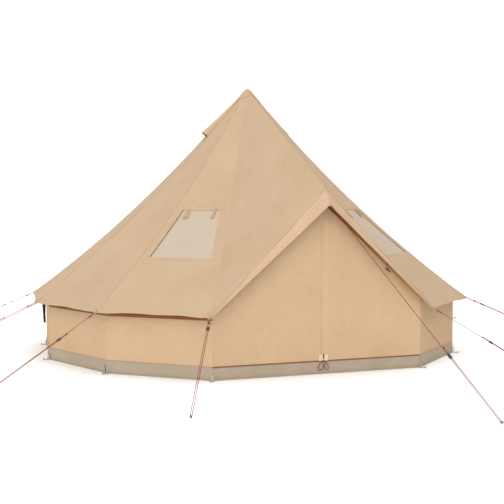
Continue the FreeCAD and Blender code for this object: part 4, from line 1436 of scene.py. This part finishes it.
def pegLoops():
    # webbing loops at the skirt's corners, each round its peg, and their dark elastics
    bm, bands = bmesh.new(), bmesh.new()
    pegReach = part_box("wall_pegs")[1][0] - 0.012
    for azimuth in corners:
        sideways = aside(azimuth)
        start = tent["baseReach"] + 0.0022
        flat = pegLook["flat"]
        side = math.copysign(pegLook["elasticSide"], 180 - azimuth)
        line = [(start - 0.001, 0.052), (start, 0.030), (start + 0.003, 0.012),
                (start + 0.012, 0.0052), (pegReach - 0.014, flat), (pegReach - 0.0075, flat)]
        end = [(pegReach + 0.010, flat), (pegReach + 0.020, flat)]
        strap(bm, [polar(r, azimuth, z) for r, z in line], sideways * pegLook["strapWide"])
        for half in (-1, 1):
            arm = [polar(r, azimuth, flat) + sideways * half * pegLook["armHalf"]
                   for r in (pegReach - 0.008, pegReach + 0.012)]
            strap(bm, arm, sideways * pegLook["armWide"])
        strap(bm, [polar(r, azimuth, z) for r, z in end], sideways * pegLook["strapWide"])
        if azimuth in (corners[0], corners[-1]):
            continue          # the door's own corners have none
        band = [polar(start + out, azimuth, height) + sideways * side * share
                for out, height, share in ((0.0015, 0.072, 1.0), (0.006, 0.040, 0.5),
                                           (0.018, 0.010, 0.0))]
        strap(bands, band, sideways * pegLook["elasticWide"])
    clothPiece("pegLoops", bm, webbing, 0.0016, ["peg_loops"])
    meshPiece("skirtElastics", bands, darkElastic, 0.0016)


sleeveShape = {
    "top": 0.485, "long": 0.262, "half": 0.026,
    "taper": 0.42,
    "flat": 0.72,             # its depth, as a share of its width
    "sway": 0.012,
    "rumple": 0.05,
}


def cableSleeve():
    # black fabric sleeve for the mains lead, sewn to the wall's third corner on the left
    bm = bmesh.new()
    azimuth = corners[-4]
    shape = sleeveShape
    top, deep, wide = shape["top"], shape["long"], shape["half"]
    rows = []
    for share in steps(0.0, 1.0, 22):
        size = wide * (1.0 - shape["taper"] * smooth(share * 1.2)) * (
            1 + shape["rumple"] * math.sin(share * 26))
        rows.append([(share, size, t) for t in steps(0.0, fullTurn, 20)])

    def sleevePoint(s):
        share, size, turn = s
        middle = polar(tent["baseReach"] + 0.003 + wide * (0.75 - 0.2 * share), azimuth,
                       top - deep * share)
        sway = aside(azimuth) * (shape["sway"] * math.sin(3 * share))
        return middle + sway + polar(size * shape["flat"] * math.cos(turn), azimuth) + aside(
            azimuth, size * math.sin(turn))

    addGrid(bm, rows, sleevePoint, lambda s: (s[2] * wide, s[0] * deep))
    clothPiece("cableSleeve", bm, sleeveCloth, 0.0014, [],
               True)


guyLines()
hemToggles()
pegLoops()
cableSleeve()
print("cords and trim made")

# ---- floor and light ----
stageLook = {
    "floorHalf": 60.0,
    "floor": "#ffffff",
    "sky": "#ffffff",
    "skyPower": 1.1,
    "shadeSky": "#2e1406",     # the darker side of the studio, low on the right
    "shadeAzimuth": 70.0,
    "shadeTilt": -0.36,
    "shadeStart": 0.44,
    "shadeEnd": 0.78,
    "lamps": (("keyLight", -24.0, 24.0, 0.95), ("topLight", 80.0, 76.0, 0.75)),
    "lampSpread": 40.0,
}


def paleFloor():
    bpy.ops.object.select_all(action="DESELECT")
    bpy.ops.mesh.primitive_plane_add(size=2 * stageLook["floorHalf"], location=(0, 0, 0))
    floor = bpy.context.active_object
    floor.name = "studioFloor"
    material, tree, shader = newMaterial("studioFloor", 0.9, 0.1)
    shader.inputs["Base Color"].default_value = linear(stageLook["floor"])
    floor.data.materials.append(material)


def softLights():
    # a white studio with one darker, warmer side, and two wide soft suns
    world = bpy.data.worlds.new("studioWorld")
    bpy.context.scene.world = world
    world.use_nodes = True
    tree = world.node_tree
    heading = addNode(tree, "ShaderNodeTexCoord").outputs["Generated"]
    shade = addNode(tree, "ShaderNodeVectorMath", {"operation": "DOT_PRODUCT"})
    tree.links.new(heading, shade.inputs[0])
    shade.inputs[1].default_value = polar(1.0, stageLook["shadeAzimuth"],
                                          stageLook["shadeTilt"]).normalized()
    share = addNode(tree, "ShaderNodeMapRange",
                    {"interpolation_type": "SMOOTHSTEP", "From Min": stageLook["shadeStart"],
                     "From Max": stageLook["shadeEnd"]}, {"Value": shade.outputs["Value"]})
    colour = mixed(tree, share.outputs["Result"], stageLook["sky"], stageLook["shadeSky"])
    background = tree.nodes["Background"]
    tree.links.new(colour, background.inputs["Color"])
    background.inputs["Strength"].default_value = stageLook["skyPower"]
    for name, azimuth, elevation, power in stageLook["lamps"]:
        data = bpy.data.lights.new(name, "SUN")
        data.angle = math.radians(stageLook["lampSpread"])
        data.energy = power
        lamp = bpy.data.objects.new(name, data)
        bpy.context.scene.collection.objects.link(lamp)
        lamp.location = polar(8.0, azimuth, 8.0 * math.tan(math.radians(elevation)))
        lamp.rotation_euler = (-lamp.location).to_track_quat("-Z", "Y").to_euler()
    bpy.context.scene.view_settings.view_transform = "Standard"


paleFloor()
softLights()

# ---- finish on the carried-over nodes ----
nodeFinish = (
    (poleSteel, ["centre_pole_lower", "centre_pole_upper", "pole_spigot", "frame_leg_left",
                 "frame_leg_right"]),
    (pegSteel, ["guy_pegs", "wall_pegs", "eave_rings"]),
    (blackNylon, ["pole_foot", "pole_plug", "frame_apex_joint", "door_zip_slider"]
     + [name for name in frame["nodes"] if name.startswith("tensioner")]),
)
for material, names in nodeFinish:
    for name in names:
        mesh = bpy.data.objects[name].data
        mesh.materials.clear()
        mesh.materials.append(material)
print("finishes set")
